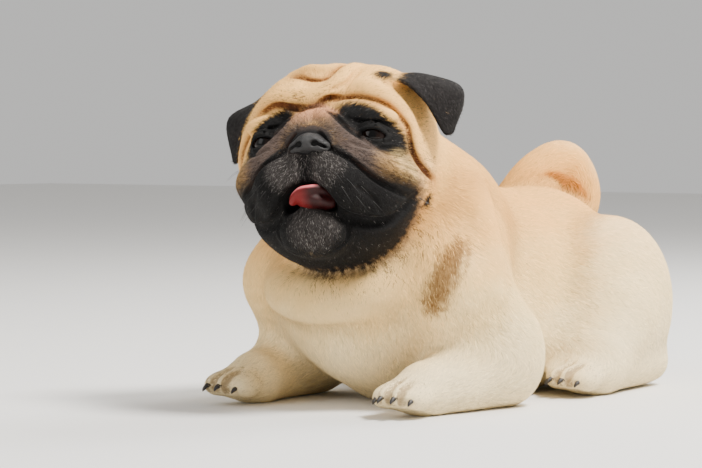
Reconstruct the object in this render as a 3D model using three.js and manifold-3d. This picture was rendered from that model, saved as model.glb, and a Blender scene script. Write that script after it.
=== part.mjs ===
// A fawn pug lying on its belly with its head raised, as a still, life-size model.
// Millimetres. +Z is up, the dog faces -Y and its own left side is +X.
// Soft forms are fields: functions that are negative inside the dog and read roughly in
// millimetres. Each flesh part is a field drawn as a closed skin of faces, and where two
// parts meet the larger one is cut back by a copy of the smaller, grown by the gap.
import * as THREE from "three";
import { mergeVertices } from "three/addons/utils/BufferGeometryUtils.js";
import Module from "manifold-3d";

const wasm = await Module();
wasm.setup();

const GAP = 0.35;
const SIDES = { left: 1, right: -1 };

// Colours read from the coat, the mask and the bare parts.
const FAWN = 0xe0c193;
const MASK = 0x2a2524;
const EAR_BLACK = 0x1b191a;
const NOSE_LEATHER = 0x141415;
const TONGUE_PINK = 0xd0666c;
const EYE_BROWN = 0x1a0f0a;

// Field building blocks, and what counts as nothing and as out of reach.
const rad = THREE.MathUtils.degToRad;
const TINY = 1e-9;
const FAR_OFF = 1e9;
const HALVINGS = 24;

// A turn about X, then Y, then Z, in degrees.
function turning(degrees = [0, 0, 0]) {
  const [x, y, z] = degrees.map(rad);
  return new THREE.Matrix4().makeRotationFromEuler(new THREE.Euler(x, y, z, "ZYX"));
}

function ellipsoid({ at, r, turn }) {
  const e = turning(turn).elements;
  return (x, y, z) => {
    const dx = x - at[0];
    const dy = y - at[1];
    const dz = z - at[2];
    const u = (e[0] * dx + e[1] * dy + e[2] * dz) / r[0];
    const v = (e[4] * dx + e[5] * dy + e[6] * dz) / r[1];
    const w = (e[8] * dx + e[9] * dy + e[10] * dz) / r[2];
    const far = Math.hypot(u, v, w);
    const slope = Math.hypot(u / r[0], v / r[1], w / r[2]);
    return slope < TINY ? -Math.min(...r) : (far * (far - 1)) / slope;
  };
}

// A limb: a chain of round cones through [x, y, z, radius] stations.
function limb(stations) {
  return (x, y, z) => {
    let best = FAR_OFF;
    for (let i = 1; i < stations.length; i++) {
      const a = stations[i - 1];
      const b = stations[i];
      const bx = b[0] - a[0];
      const by = b[1] - a[1];
      const bz = b[2] - a[2];
      const along = ((x - a[0]) * bx + (y - a[1]) * by + (z - a[2]) * bz) / (bx * bx + by * by + bz * bz);
      const t = Math.min(1, Math.max(0, along));
      const far = Math.hypot(x - a[0] - t * bx, y - a[1] - t * by, z - a[2] - t * bz);
      best = Math.min(best, far - (a[3] + t * (b[3] - a[3])));
    }
    return best;
  };
}

// A roll of skin: a limb that runs smoothly through a few stations.
const ROLL_STEPS = 4;
const FINE_ROLL_STEPS = 6;

function roll(stations, steps = ROLL_STEPS) {
  const path = new THREE.CatmullRomCurve3(stations.map((s) => new THREE.Vector3(...s)));
  const count = (stations.length - 1) * steps;
  const dense = [];
  for (let i = 0; i <= count; i++) {
    const p = path.getPoint(i / count);
    const j = Math.min(stations.length - 2, Math.floor(i / steps));
    const t = i / steps - j;
    dense.push([p.x, p.y, p.z, stations[j][3] * (1 - t) + stations[j + 1][3] * t]);
  }
  return limb(dense);
}

// Stations [x, y, z, radius, height] moved along their rays from the head's middle: with way 1
// each stands its height above the field's skin, with way -1 it sinks that deep from outside.
function laid(field, stations, way) {
  return stations.map(([x, y, z, radius, height]) => {
    const length = Math.hypot(x, y, z);
    const ray = [x / length, y / length, z / length];
    let near = 0;
    let far = 2 * length;
    for (let step = 0; step < HALVINGS; step++) {
      const middle = (near + far) / 2;
      if (field(...ray.map((c) => c * middle)) < 0) near = middle;
      else far = middle;
    }
    const reach = near - way * (radius - height);
    return [...ray.map((c) => c * reach), radius];
  });
}

const mirrored = (field) => (x, y, z) => field(Math.abs(x), y, z);

// Joins fields with a soft crease of the given width.
function join(width, ...fields) {
  return (x, y, z) => {
    let d = fields[0](x, y, z);
    for (let i = 1; i < fields.length; i++) {
      const f = fields[i](x, y, z);
      const h = Math.max(width - Math.abs(d - f), 0) / width;
      d = Math.min(d, f) - (h * h * width) / 4;
    }
    return d;
  };
}

// Cuts one field out of another with a soft edge.
function carve(width, base, ...cuts) {
  return (x, y, z) => {
    let d = base(x, y, z);
    for (const cut of cuts) {
      const f = -cut(x, y, z);
      const h = Math.max(width - Math.abs(d - f), 0) / width;
      d = Math.max(d, f) + (h * h * width) / 4;
    }
    return d;
  };
}

// Sizes of the body. The lowest forms pass the floor a little and are cut flat there.
const CHEST = { at: [0, -40, 92], r: [82, 84, 96] };
const BREAST = { at: [0, -100, 88], r: [62, 46, 66] };
const WITHERS = { at: [0, -30, 142], r: [46, 66, 40] };
const LOIN = { at: [0, 66, 82], r: [80, 92, 84] };
const RUMP = { at: [0, 146, 86], r: [76, 72, 78] };
const BELLY = { at: [0, 50, 44], r: [78, 120, 49] };
const NECK = [[0, -28, 132, 73], [4, -80, 162, 65], [4, -108, 174, 60]];
const THROAT_ROLL = [
  [-60, -98, 98, 18], [-38, -138, 88, 19], [0, -150, 84, 20], [38, -138, 88, 19], [60, -96, 98, 18],
];

// Legs, measured on the left; the right ones mirror them.
const SHOULDER = { at: [64, -62, 104], r: [37, 48, 64] };
const UPPER_ARM = [[76, -90, 92, 36], [90, -44, 52, 34]];
const FOREARM = [[90, -36, 27, 29], [86, -90, 23, 25], [80, -122, 19, 22]];
const THIGH = { at: [76, 148, 68], r: [44, 66, 72] };
const KNEE = [[86, 118, 56, 36], [94, 92, 32, 30]];
const HIND_FOOT = [[94, 176, 19, 17], [100, 120, 17, 16], [100, 84, 17, 17]];
const TAIL = [
  [0, 194, 132, 25], [2, 207, 156, 24], [-2, 195, 179, 23], [-13, 170, 168, 22],
  [-23, 154, 148, 19], [-28, 152, 130, 15],
];

const BODY_CREASE = 30;
const LEG_CREASE = 24;
const ROLL_CREASE = 12;

const trunk = join(
  BODY_CREASE,
  ...[CHEST, BREAST, LOIN, RUMP, BELLY, WITHERS].map(ellipsoid),
);
const foreleg = join(LEG_CREASE, ellipsoid(SHOULDER), limb(UPPER_ARM), limb(FOREARM));
const hindleg = join(LEG_CREASE, ellipsoid(THIGH), limb(KNEE));
const hindFoot = limb(HIND_FOOT);
const body = join(
  LEG_CREASE,
  trunk,
  mirrored(foreleg),
  mirrored(hindleg),
  limb(NECK),
);
const bodyWithRoll = join(ROLL_CREASE, body, roll(THROAT_ROLL, FINE_ROLL_STEPS), mirrored(hindFoot));
const tail = roll(TAIL, FINE_ROLL_STEPS);

// Paws. Each toe is [sideways, forward, up] from the paw's middle.
const PAW = { palm: [20, 24, 15], heel: [17, 20, 15], heelBack: 16, toe: [8.5, 14, 9.5] };
const CLAW = { length: 9, radius: 2.6, droop: 0.5, below: 4, sides: 5 };
const TOES = [[-15, 12, -2], [-5.5, 21, 0], [5.5, 21, 0], [15, 12, -2]];
const FORE_PAW = { at: [79, -142, 17], yaw: 4 };
const HIND_PAW = { at: [100, 64, 16], yaw: -8 };

// The head, on its own frame: +X its left, -Y its face, +Z its crown, [0, 0, 0] its middle.
const HEAD_AT = [3, -125, 190];
const HEAD_YAW = 17.5;
const HEAD_PITCH = 10;
const HEAD_ROLL = 4;

const SKULL = { at: [0, 12, 14], r: [64, 64, 55] };
const TEMPLE = { at: [30, 8, 20], r: [34, 50, 44] };
const CHEEK = { at: [40, -6, -14], r: [34, 44, 42] };
const MUZZLE = { at: [0, -46, -28], r: [42, 34, 34] };
const FLEW = { at: [22, -60, -32], r: [24, 25, 27] };
const FLEW_SIDE = { at: [37, -38, -32], r: [23, 27, 27] };
const JAW = { at: [0, -20, -58], r: [50, 48, 30] };
const CHIN = { at: [0, -57, -67], r: [27, 21, 18] };
const NOSE_BRIDGE = { at: [0, -58, -1], r: [19, 20, 13] };
const BROW = { at: [40, -44, 18], r: [20, 10, 9] };
const BROW_INNER = { at: [19, -46, 24], r: [9, 9, 9] };
const CHIN_PAD = { at: [5, -63, -65], r: [19, 17.5, 16] };

// Rolls and creases of the face, as [x, y, z, radius, height or depth] along each. The roll over
// the nose and the frame round the eyes are alike on both sides. One fold runs from the right
// brow over the middle of the forehead up to the crown, with a shorter one behind it.
const NOSE_ROLL = [
  [0, -54, 20, 10, 6], [13, -56, 12, 10, 6], [26, -60, 1, 9.5, 6], [38, -64, -11, 9, 5.5],
  [52, -58, -20, 9, 5], [64, -46, -27, 9, 3.5], [73, -28, -33, 8, 0],
];
const FRAME_ROLL = [
  [26, -40, 47, 10, 3.5], [36, -39, 44, 10, 5], [53, -36, 36, 10, 5], [65, -32, 24, 9, 4],
  [70, -32, 9, 9, 4], [73, -30, -6, 9, 3], [77, -16, -18, 8, 0],
];
const THUMB_ROLL = [
  [-52, -37, 35, 9, 4], [-40, -41, 37, 9.5, 6], [-24, -46, 37, 10, 8], [-8, -48, 37, 10.5, 8.5],
  [5, -47, 41, 10, 8.5], [12, -43, 48, 9, 7.5], [15, -33, 56, 8, 6], [16, -20, 61, 7, 4],
  [17, -6, 66, 6, 1],
];
const CROWN_ROLL = [
  [-32, -12, 59, 6, 1.5], [-17, -19, 60, 7, 5.5], [-5, -21, 61, 7, 5.5], [4, -14, 65, 6, 4],
  [8, -1, 68, 5, 0.5],
];
const MOUTH_LINE = [
  [14, -84, -45, 4, 5], [21, -80, -54, 4, 6], [30, -71, -62, 4, 6], [44, -57, -64, 4, 6],
  [56, -44, -60, 4, 5], [65, -34, -49, 4, 4], [71, -24, -38, 4, 1],
];
const PHILTRUM = [[0, -84, -12, 4, 3], [0, -84, -24, 4, 4], [0, -82, -33, 4, 4]];
const MOUTH_CAVITY = { at: [9, -74, -42], r: [14, 22, 6], turn: [0, 42, 0] };

const NOSE = { at: [0, -73, -2], r: [14.5, 11, 8.5] };
const NOSTRIL = { at: [6, -83, -3], r: [3, 6, 2.4], turn: [0, -18, 0] };
const NOSTRIL_SLIT = { at: [11.5, -80, -5], r: [4.5, 5, 1.3], turn: [0, 24, 0] };
const TONGUE = { at: [1, -64, -42], r: [14, 22, 6.5], turn: [8, 4, 0] };
const TONGUE_TIP = { at: [1, -77, -44], r: [13, 10, 5], turn: [24, 4, 0] };
const EYE = { at: [41, -45, 4], r: 11.5 };
// The eye faces a little outward, and its outer corner stands higher than its inner one.
const EYE_TURN = [0, 9, 18];
const LID_OPENING = { at: [45, -57.4, 4], r: [12, 9, 4.4], turn: EYE_TURN };

const FORM_CREASE = 22;
const LIP_CREASE = 6;
const FOLD_CREASE = 5;
const GROOVE_EDGE = 4;
const NOSTRIL_EDGE = 1.5;

const headForms = join(
  FORM_CREASE,
  ellipsoid(SKULL),
  mirrored(ellipsoid(TEMPLE)),
  mirrored(ellipsoid(CHEEK)),
  ellipsoid(MUZZLE),
  ellipsoid(NOSE_BRIDGE),
  ellipsoid(JAW),
  mirrored(ellipsoid(FLEW_SIDE)),
);
const plainHead = join(LIP_CREASE, headForms, mirrored(ellipsoid(FLEW)), ellipsoid(CHIN));
const foldedHead = join(
  FOLD_CREASE,
  plainHead,
  mirrored(roll(laid(headForms, NOSE_ROLL, 1))),
  mirrored(roll(laid(headForms, FRAME_ROLL, 1))),
  roll(laid(headForms, THUMB_ROLL, 1)),
  roll(laid(headForms, CROWN_ROLL, 1)),
  mirrored(ellipsoid(BROW)),
  mirrored(ellipsoid(BROW_INNER)),
  ellipsoid(CHIN_PAD),
);
const head = carve(
  GROOVE_EDGE,
  foldedHead,
  mirrored(roll(laid(plainHead, MOUTH_LINE, -1))),
  roll(laid(plainHead, PHILTRUM, -1)),
  mirrored(ellipsoid(MOUTH_CAVITY)),
);
const nose = carve(
  NOSTRIL_EDGE,
  ellipsoid(NOSE),
  mirrored(ellipsoid(NOSTRIL)),
  mirrored(ellipsoid(NOSTRIL_SLIT)),
);
const tongue = join(LIP_CREASE, ellipsoid(TONGUE), ellipsoid(TONGUE_TIP));

// Meshing. An even run of grid lines from a start to past an end.
function lines(from, to, step) {
  const count = Math.ceil((to - from) / step);
  return Array.from({ length: count + 1 }, (_, i) => from + i * step);
}

const CORNERS = [0, 1, 2, 3, 4, 5, 6, 7].map((c) => [c & 1, (c >> 1) & 1, (c >> 2) & 1]);
const CELL_EDGES = [];
for (let a = 0; a < 8; a++) {
  for (const bit of [1, 2, 4]) {
    if (!(a & bit)) CELL_EDGES.push([a, a | bit]);
  }
}

// A cell is plain when its inside corners hold together along edges, and its outside ones too.
function isPlain(mask) {
  for (const side of [mask, 255 - mask]) {
    if (side === 0) continue;
    let reached = side & -side;
    for (let pass = 0; pass < 8; pass++) {
      for (const [a, b] of CELL_EDGES) {
        const both = (1 << a) | (1 << b);
        if ((side & both) === both && reached & both) reached |= both;
      }
    }
    if (reached !== side) return false;
  }
  return true;
}

const PLAIN = Array.from({ length: 256 }, (_, mask) => isPlain(mask));

const BARELY = 1e-3;

// Draws a field's skin on a grid as a closed mesh: one point in each cell that the skin
// crosses, one four-sided face round each grid edge that it crosses. The grid's rim counts
// as outside, so a form that runs past it is closed there.
function skin(field, xs, ys, zs) {
  const [nx, ny, nz] = [xs.length, ys.length, zs.length];
  const index = (i, j, k) => (k * ny + j) * nx + i;
  const value = new Float64Array(nx * ny * nz);
  for (let k = 0; k < nz; k++) {
    for (let j = 0; j < ny; j++) {
      for (let i = 0; i < nx; i++) {
        const rim = [i, nx - 1 - i, j, ny - 1 - j, k, nz - 1 - k].includes(0);
        const v = field(xs[i], ys[j], zs[k]);
        value[index(i, j, k)] = rim ? Math.max(v, BARELY) : v;
      }
    }
  }
  const corner = (i, j, k, c) => index(i + CORNERS[c][0], j + CORNERS[c][1], k + CORNERS[c][2]);
  const bit = (i, j, k, c) => (value[corner(i, j, k, c)] < 0 ? 1 << c : 0);
  const maskOf = (i, j, k) => CORNERS.reduce((mask, _, c) => mask | bit(i, j, k, c), 0);
  fillAwkwardCells(value, [nx, ny, nz], corner, maskOf);

  const points = [];
  const cellPoint = new Int32Array(nx * ny * nz).fill(-1);
  for (let k = 0; k < nz - 1; k++) {
    for (let j = 0; j < ny - 1; j++) {
      for (let i = 0; i < nx - 1; i++) {
        const mask = maskOf(i, j, k);
        if (mask === 0 || mask === 255) continue;
        const sum = [0, 0, 0];
        let count = 0;
        for (const [a, b] of CELL_EDGES) {
          const va = value[corner(i, j, k, a)];
          const vb = value[corner(i, j, k, b)];
          if (va < 0 === vb < 0) continue;
          const t = va / (va - vb);
          CORNERS[a].forEach((from, axis) => (sum[axis] += from + t * (CORNERS[b][axis] - from)));
          count++;
        }
        const low = [xs[i], ys[j], zs[k]];
        const high = [xs[i + 1], ys[j + 1], zs[k + 1]];
        const start = low.map((v, axis) => v + (sum[axis] / count) * (high[axis] - v));
        cellPoint[index(i, j, k)] = points.length;
        points.push(settled(field, start, low, high));
      }
    }
  }

  const faces = [];
  const STEPS = [[1, 0, 0], [0, 1, 0], [0, 0, 1]];
  for (let k = 0; k < nz - 1; k++) {
    for (let j = 0; j < ny - 1; j++) {
      for (let i = 0; i < nx - 1; i++) {
        const here = value[index(i, j, k)] < 0;
        STEPS.forEach(([di, dj, dk], axis) => {
          const there = value[index(i + di, j + dj, k + dk)] < 0;
          if (here === there) return;
          const [u, v] = [STEPS[(axis + 1) % 3], STEPS[(axis + 2) % 3]];
          const around = [[0, 0], [1, 0], [1, 1], [0, 1]].map(([a, b]) =>
            cellPoint[index(i - a * u[0] - b * v[0], j - a * u[1] - b * v[1], k - a * u[2] - b * v[2])]);
          if (!here) around.reverse();
          faces.push(...split(points, around));
        });
      }
    }
  }
  return { points, faces };
}

// Where a cell's corners make a skin that would touch itself, its shallowest outside corner
// is moved inside, until every cell is plain.
function fillAwkwardCells(value, [nx, ny, nz], corner, maskOf) {
  let changed = true;
  while (changed) {
    changed = false;
    for (let k = 0; k < nz - 1; k++) {
      for (let j = 0; j < ny - 1; j++) {
        for (let i = 0; i < nx - 1; i++) {
          if (PLAIN[maskOf(i, j, k)]) continue;
          const outside = CORNERS.map((_, c) => corner(i, j, k, c)).filter((at) => value[at] >= 0);
          value[outside.reduce((a, b) => (value[a] < value[b] ? a : b))] = -BARELY;
          changed = true;
        }
      }
    }
  }
}

// Slides a cell's point down the field's slope onto the skin, kept inside its cell.
const SETTLE_STEPS = 3;
const SLOPE_REACH = 0.4;
const LEAST_SLOPE = 0.1;
const CELL_MARGIN = 0.06;

function settled(field, start, low, high) {
  const point = [...start];
  for (let step = 0; step < SETTLE_STEPS; step++) {
    const v = field(...point);
    const slope = [0, 1, 2].map((axis) => {
      const ahead = [...point];
      ahead[axis] += SLOPE_REACH;
      return (field(...ahead) - v) / SLOPE_REACH;
    });
    const steep = Math.max(LEAST_SLOPE, slope[0] ** 2 + slope[1] ** 2 + slope[2] ** 2);
    for (let axis = 0; axis < 3; axis++) {
      const margin = CELL_MARGIN * (high[axis] - low[axis]);
      const moved = point[axis] - (v * slope[axis]) / steep;
      point[axis] = Math.min(high[axis] - margin, Math.max(low[axis] + margin, moved));
    }
  }
  return point;
}

// Splits a four-sided face along its shorter diagonal.
function split(points, [a, b, c, d]) {
  const apart = (p, q) => Math.hypot(...points[p].map((v, axis) => v - points[q][axis]));
  return apart(a, c) < apart(b, d) ? [a, b, c, a, c, d] : [a, b, d, b, c, d];
}

// Cutting and joining. A solid is a manifold; the helpers go to it and back.
function solidOf(points, faces) {
  return new wasm.Manifold(new wasm.Mesh({
    numProp: 3,
    vertProperties: Float32Array.from(points.flat()),
    triVerts: Uint32Array.from(faces),
  }));
}

// A field's skin inside a box [[x, x], [y, y], [z, z]], on a grid of the given step.
function drawn(field, box, step) {
  const { points, faces } = skin(field, ...box.map(([from, to]) => lines(from, to, step)));
  return solidOf(points, faces);
}

const WELD = 1e-4;

function solidOfGeometry(geometry) {
  const bare = new THREE.BufferGeometry();
  bare.setAttribute("position", geometry.getAttribute("position"));
  if (geometry.index) bare.setIndex(geometry.index);
  const welded = mergeVertices(bare, WELD);
  const place = welded.getAttribute("position");
  const faces = [];
  for (let i = 0; i < welded.index.count; i += 3) {
    const face = [0, 1, 2].map((n) => welded.index.getX(i + n));
    if (new Set(face).size === 3) faces.push(...face);
  }
  return solidOf(pointsOf(place), faces);
}

function pointsOf(place) {
  return Array.from({ length: place.count }, (_, i) => [place.getX(i), place.getY(i), place.getZ(i)]);
}

function geometryOf(solid) {
  const mesh = solid.getMesh();
  const geometry = new THREE.BufferGeometry();
  geometry.setAttribute("position", new THREE.BufferAttribute(Float32Array.from(mesh.vertProperties), 3));
  geometry.setIndex(new THREE.BufferAttribute(Uint32Array.from(mesh.triVerts), 1));
  geometry.computeVertexNormals();
  return geometry;
}

// The same solid with its skin moved out along its normals, to cut a neighbour clear of it.
function grown(solid, amount = GAP) {
  const geometry = geometryOf(solid);
  const place = geometry.getAttribute("position");
  const normal = geometry.getAttribute("normal");
  const out = pointsOf(normal);
  const points = pointsOf(place).map((p, i) => p.map((v, axis) => v + amount * out[i][axis]));
  return solidOf(points, Array.from(geometry.index.array));
}

function largest(solid) {
  return solid.decompose().reduce((a, b) => (a.volume() > b.volume() ? a : b));
}

// A faceted ellipsoid for cutting; the same named sizes as a field's.
function ball({ at, r, turn }, wide, high) {
  const geometry = new THREE.SphereGeometry(1, wide, high);
  geometry.scale(...(Array.isArray(r) ? r : [r, r, r]));
  geometry.applyMatrix4(turning(turn));
  geometry.translate(...at);
  return solidOfGeometry(geometry);
}

function placed(solid, matrix) {
  return solid.transform(Array.from(matrix.elements));
}

// The head's pieces, drawn in its own frame. Its front is drawn finer than its back, and the
// two are fused with a slight overlap.
const FACE = { box: [[-94, 94], [-100, -2], [-98, 80]], step: 6 };
const BACK = { box: [[-98, 98], [-47, 98], [-105, 88]], step: 14 };
const FACE_END = -17;
const FACE_LAP = 0.5;

function drawnHead() {
  const face = drawn(head, FACE.box, FACE.step).trimByPlane([0, -1, 0], -FACE_END - FACE_LAP);
  const back = drawn(head, BACK.box, BACK.step).trimByPlane([0, 1, 0], FACE_END - FACE_LAP);
  return largest(face.add(back));
}

const sideOf = (solid, side) => (side === SIDES.left ? solid : solid.mirror([1, 0, 0]));
const EYE_FACES = [12, 8];
const leftEye = ball(EYE, ...EYE_FACES);
const leftSocket = ball({ ...EYE, r: EYE.r + GAP }, ...EYE_FACES);

// A lid is a rim of skin that bends over the eye from corner to corner: its middle line's
// distance from the eye's middle, its thickness, and how far its crown stands up or down.
const LID = { reach: 12.6, radius: 2.3, upper: 4.4, lower: -4, halfWidth: 11.4 };
const LID_MESH = { rings: 6, sides: 4, cap: 1.15, capFaces: [6, 4] };

function lid(height) {
  const place = turning(EYE_TURN).setPosition(...EYE.at);
  const bend = new THREE.CatmullRomCurve3([-1, -0.5, 0, 0.5, 1].map((s) => {
    const side = s * LID.halfWidth;
    const up = height * (1 - s * s);
    const out = Math.sqrt(LID.reach ** 2 - side ** 2 - up ** 2);
    return new THREE.Vector3(side, -out, up).applyMatrix4(place);
  }));
  return capped(new THREE.TubeGeometry(bend, LID_MESH.rings, LID.radius, LID_MESH.sides), bend, LID.radius);
}

// A tube's two open ends are closed by a ball at each.
function capped(tube, bend, radius) {
  const cap = (t) => ({ at: bend.getPoint(t).toArray(), r: radius * LID_MESH.cap });
  const ends = [0, 1].map((t) => ball(cap(t), ...LID_MESH.capFaces));
  const rings = tube.parameters.tubularSegments + 1;
  const sides = tube.parameters.radialSegments;
  const place = tube.getAttribute("position");
  const points = [];
  for (let ring = 0; ring < rings; ring++) {
    for (let side = 0; side < sides; side++) {
      const at = ring * (sides + 1) + side;
      points.push([place.getX(at), place.getY(at), place.getZ(at)]);
    }
  }
  const faces = [];
  for (let ring = 0; ring < rings - 1; ring++) {
    for (let side = 0; side < sides; side++) {
      const a = ring * sides + side;
      const b = ring * sides + ((side + 1) % sides);
      faces.push(a, b, b + sides, a, b + sides, a + sides);
    }
  }
  for (let side = 1; side < sides - 1; side++) {
    faces.push(0, side + 1, side);
    const last = (rings - 1) * sides;
    faces.push(last, last + side, last + side + 1);
  }
  return outward(points, faces).add(ends[0]).add(ends[1]);
}

// A solid from faces that may all be turned inside out.
function outward(points, faces) {
  const solid = solidOf(points, faces);
  if (solid.volume() > 0) return solid;
  const turned = [];
  for (let i = 0; i < faces.length; i += 3) turned.push(faces[i], faces[i + 2], faces[i + 1]);
  return solidOf(points, turned);
}

// An ear is a thin sheet through rows of points, from its root on the skull over a fold to
// its tip. Its hollow underside is the cup. The right ear hangs lower and closer to the head.
const EAR_ROOT = [[41, -24, 54], [46, -9, 60], [52, 5, 57], [57, 17, 46]];
const EAR_RISE = [[60, -28, 47], [68, -14, 54], [79, 0, 51], [86, 10, 43]];
const EAR_FOLD = [[75, -27, 33], [87, -17, 41], [96, -6, 43], [94, 3, 36]];
const EAR_TIP = [[85, -17, 12], [87, -15, 9], [90, -12, 10], [91, -9, 14]];
const EAR_MOVES = { left: [0, 0, 0], right: [-8, 0, -10] };
const EAR = { sunk: 5, thick: 4, tipThick: 2.4, across: 5, along: 8 };

// An ear drawn as on the left, with its rows moved.
function earSheet(move) {
  const moved = (row) => row.map((p) => p.map((v, axis) => v + move[axis]));
  const sunk = moved(EAR_ROOT).map((p) => [...p, 0, -EAR.sunk]);
  const root = laid(plainHead, sunk, 1).map((p) => p.slice(0, 3));
  const rows = [root, ...[EAR_RISE, EAR_FOLD, EAR_TIP].map(moved)];
  const columns = EAR_ROOT.map((_, i) => curveThrough(rows.map((row) => row[i])));
  const middle = [];
  for (let v = 0; v <= EAR.along; v++) {
    const row = curveThrough(columns.map((column) => column.getPoint(v / EAR.along).toArray()));
    for (let u = 0; u <= EAR.across; u++) middle.push(row.getPoint(u / EAR.across));
  }
  const thickness = (t) => EAR.thick + t * (EAR.tipThick - EAR.thick);
  return thickened(middle, EAR.across + 1, EAR.along + 1, thickness);
}

function curveThrough(points) {
  return new THREE.CatmullRomCurve3(points.map((p) => new THREE.Vector3(...p)));
}

// A closed sheet round a grid of middle points; thickness is given from root (0) to tip (1).
function thickened(middle, wide, long, thickness) {
  const clamp = THREE.MathUtils.clamp;
  const at = (u, v) => middle[clamp(v, 0, long - 1) * wide + clamp(u, 0, wide - 1)];
  const points = [];
  for (const face of [1, -1]) {
    for (let v = 0; v < long; v++) {
      for (let u = 0; u < wide; u++) {
        const across = at(u + 1, v).clone().sub(at(u - 1, v));
        const along = at(u, v + 1).clone().sub(at(u, v - 1));
        const out = across.cross(along).normalize().multiplyScalar((face * thickness(v / (long - 1))) / 2);
        points.push(at(u, v).clone().add(out).toArray());
      }
    }
  }
  const faces = [];
  const below = wide * long;
  const square = (a, b, c, d) => faces.push(a, b, c, a, c, d);
  for (let v = 0; v < long - 1; v++) {
    for (let u = 0; u < wide - 1; u++) {
      const a = v * wide + u;
      const [b, c, d] = [a + 1, a + 1 + wide, a + wide];
      faces.push(a, b, c, a, c, d);
      faces.push(below + a, below + c, below + b, below + a, below + d, below + c);
    }
  }
  for (let u = 0; u < wide - 1; u++) {
    const far = (long - 1) * wide + u;
    square(u + 1, u, below + u, below + u + 1);
    square(far, far + 1, below + far + 1, below + far);
  }
  for (let v = 0; v < long - 1; v++) {
    const near = v * wide;
    const far = v * wide + wide - 1;
    square(near, near + wide, below + near + wide, below + near);
    square(far + wide, far, below + far, below + far + wide);
  }
  return outward(points, faces);
}

const ears = new Map();
for (const [name, side] of Object.entries(SIDES)) {
  ears.set(name, sideOf(earSheet(EAR_MOVES[name]), side));
}
const NOSE_BOX = [[-20, 20], [-90, -56], [-16, 12]];
const NOSE_STEP = 3.7;
const TONGUE_BOX = [[-22, 24], [-98, -30], [-60, -26]];
const TONGUE_STEP = 5.6;
const noseSolid = drawn(nose, NOSE_BOX, NOSE_STEP);
const tongueSolid = drawn(tongue, TONGUE_BOX, TONGUE_STEP);
const fullHead = drawnHead();

// The head with its mouth filled by the tongue, and the room for eyes, ears and nose.
const OPENING_FACES = [10, 5];

function carvedHead() {
  let solid = fullHead;
  const openings = ball(LID_OPENING, ...OPENING_FACES);
  const lids = lid(LID.upper).add(lid(LID.lower));
  for (const [name, side] of Object.entries(SIDES)) {
    solid = solid.subtract(sideOf(openings, side)).add(sideOf(lids, side));
    solid = solid.subtract(sideOf(leftSocket, side)).subtract(grown(ears.get(name)));
  }
  return largest(solid.subtract(grown(noseSolid)).subtract(grown(tongueSolid)));
}

// The dark mask is parted from the head by a ball-shaped cut.
const MASK_CUT = { at: [0, -52, -44], r: [70, 64, 50] };
const MASK_FACES = [16, 10];
const maskBall = (extra) => ball({ ...MASK_CUT, r: MASK_CUT.r.map((r) => r + extra) }, ...MASK_FACES);

// The body is drawn whole, cut flat at the floor and parted by planes and balls.
const BODY_BOX = [[-150, 150], [-185, 235], [-30, 265]];
const BODY_STEP = 20;
const TAIL_BOX = [[-70, 50], [110, 250], [80, 225]];
const TAIL_STEP = 15;
const FLOOR = { wide: 800, deep: 60 };
const floor = solidOfGeometry(
  new THREE.BoxGeometry(FLOOR.wide, FLOOR.wide, FLOOR.deep).translate(0, 0, -FLOOR.deep / 2),
);
const headMatrix = turning([-HEAD_PITCH, -HEAD_ROLL, HEAD_YAW]).setPosition(...HEAD_AT);

// A paw on its own frame, toes forward along -Y, with four claws.
const PAW_BOX = [[-34, 34], [-48, 50], [-26, 26]];
const PAW_STEP = 8.2;
const pawForm = join(
  LIP_CREASE,
  ellipsoid({ at: [0, 0, 0], r: PAW.palm }),
  ellipsoid({ at: [0, PAW.heelBack, 1], r: PAW.heel }),
  ...TOES.map(([x, forward, z]) => ellipsoid({ at: [x, -forward, z], r: PAW.toe })),
);

function claw([x, forward, z]) {
  const cone = new THREE.ConeGeometry(CLAW.radius, CLAW.length, CLAW.sides);
  cone.rotateX(Math.PI / 2 + CLAW.droop);
  return solidOfGeometry(cone.translate(x, -forward - PAW.toe[1], z - CLAW.below));
}

function paw({ at, yaw }, side) {
  let solid = drawn(pawForm, PAW_BOX, PAW_STEP);
  for (const toe of TOES) solid = solid.add(claw(toe));
  const matrix = new THREE.Matrix4().makeRotationZ(rad(yaw)).setPosition(...at);
  return largest(sideOf(placed(solid, matrix), side).subtract(floor));
}

// Cuts of the body: the neck's and the tail's planes, and for each leg the balls that it is in.
const NECK_CUT = { through: [0, -62, 130], normal: [0, -0.6, 0.8] };
const TAIL_CUT = { through: [0, 190, 180], normal: [-0.25, -0.94, 0.22] };
const FORELEG_CUTS = [
  { at: [94, -80, 8], r: [46, 76, 50] },
  { at: [98, -66, 98], r: [44, 60, 72] },
];
const HINDLEG_CUTS = [
  { at: [104, 138, 4], r: [34, 82, 40] },
  { at: [106, 146, 84], r: [60, 88, 72] },
];

const LEGS = {
  foreleg: { cuts: FORELEG_CUTS, place: FORE_PAW },
  hindleg: { cuts: HINDLEG_CUTS, place: HIND_PAW },
};

function halves(solid, { through, normal }) {
  const length = Math.hypot(...normal);
  const unit = normal.map((c) => c / length);
  const offset = through.reduce((sum, c, axis) => sum + c * unit[axis], 0);
  const back = unit.map((c) => -c);
  return [
    largest(solid.trimByPlane(unit, offset + GAP / 2)),
    largest(solid.trimByPlane(back, -offset + GAP / 2)),
  ];
}

// Takes the part inside a few balls out of a solid, and gives that part and the rest.
const CUT_FACES = [12, 8];

function parted(solid, cuts, side) {
  const region = (extra) => sideOf(wasm.Manifold.union(
    cuts.map(({ at, r }) => ball({ at, r: r.map((size) => size + extra) }, ...CUT_FACES)),
  ), side);
  return [largest(solid.intersect(region(0))), largest(solid.subtract(region(GAP)))];
}

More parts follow.
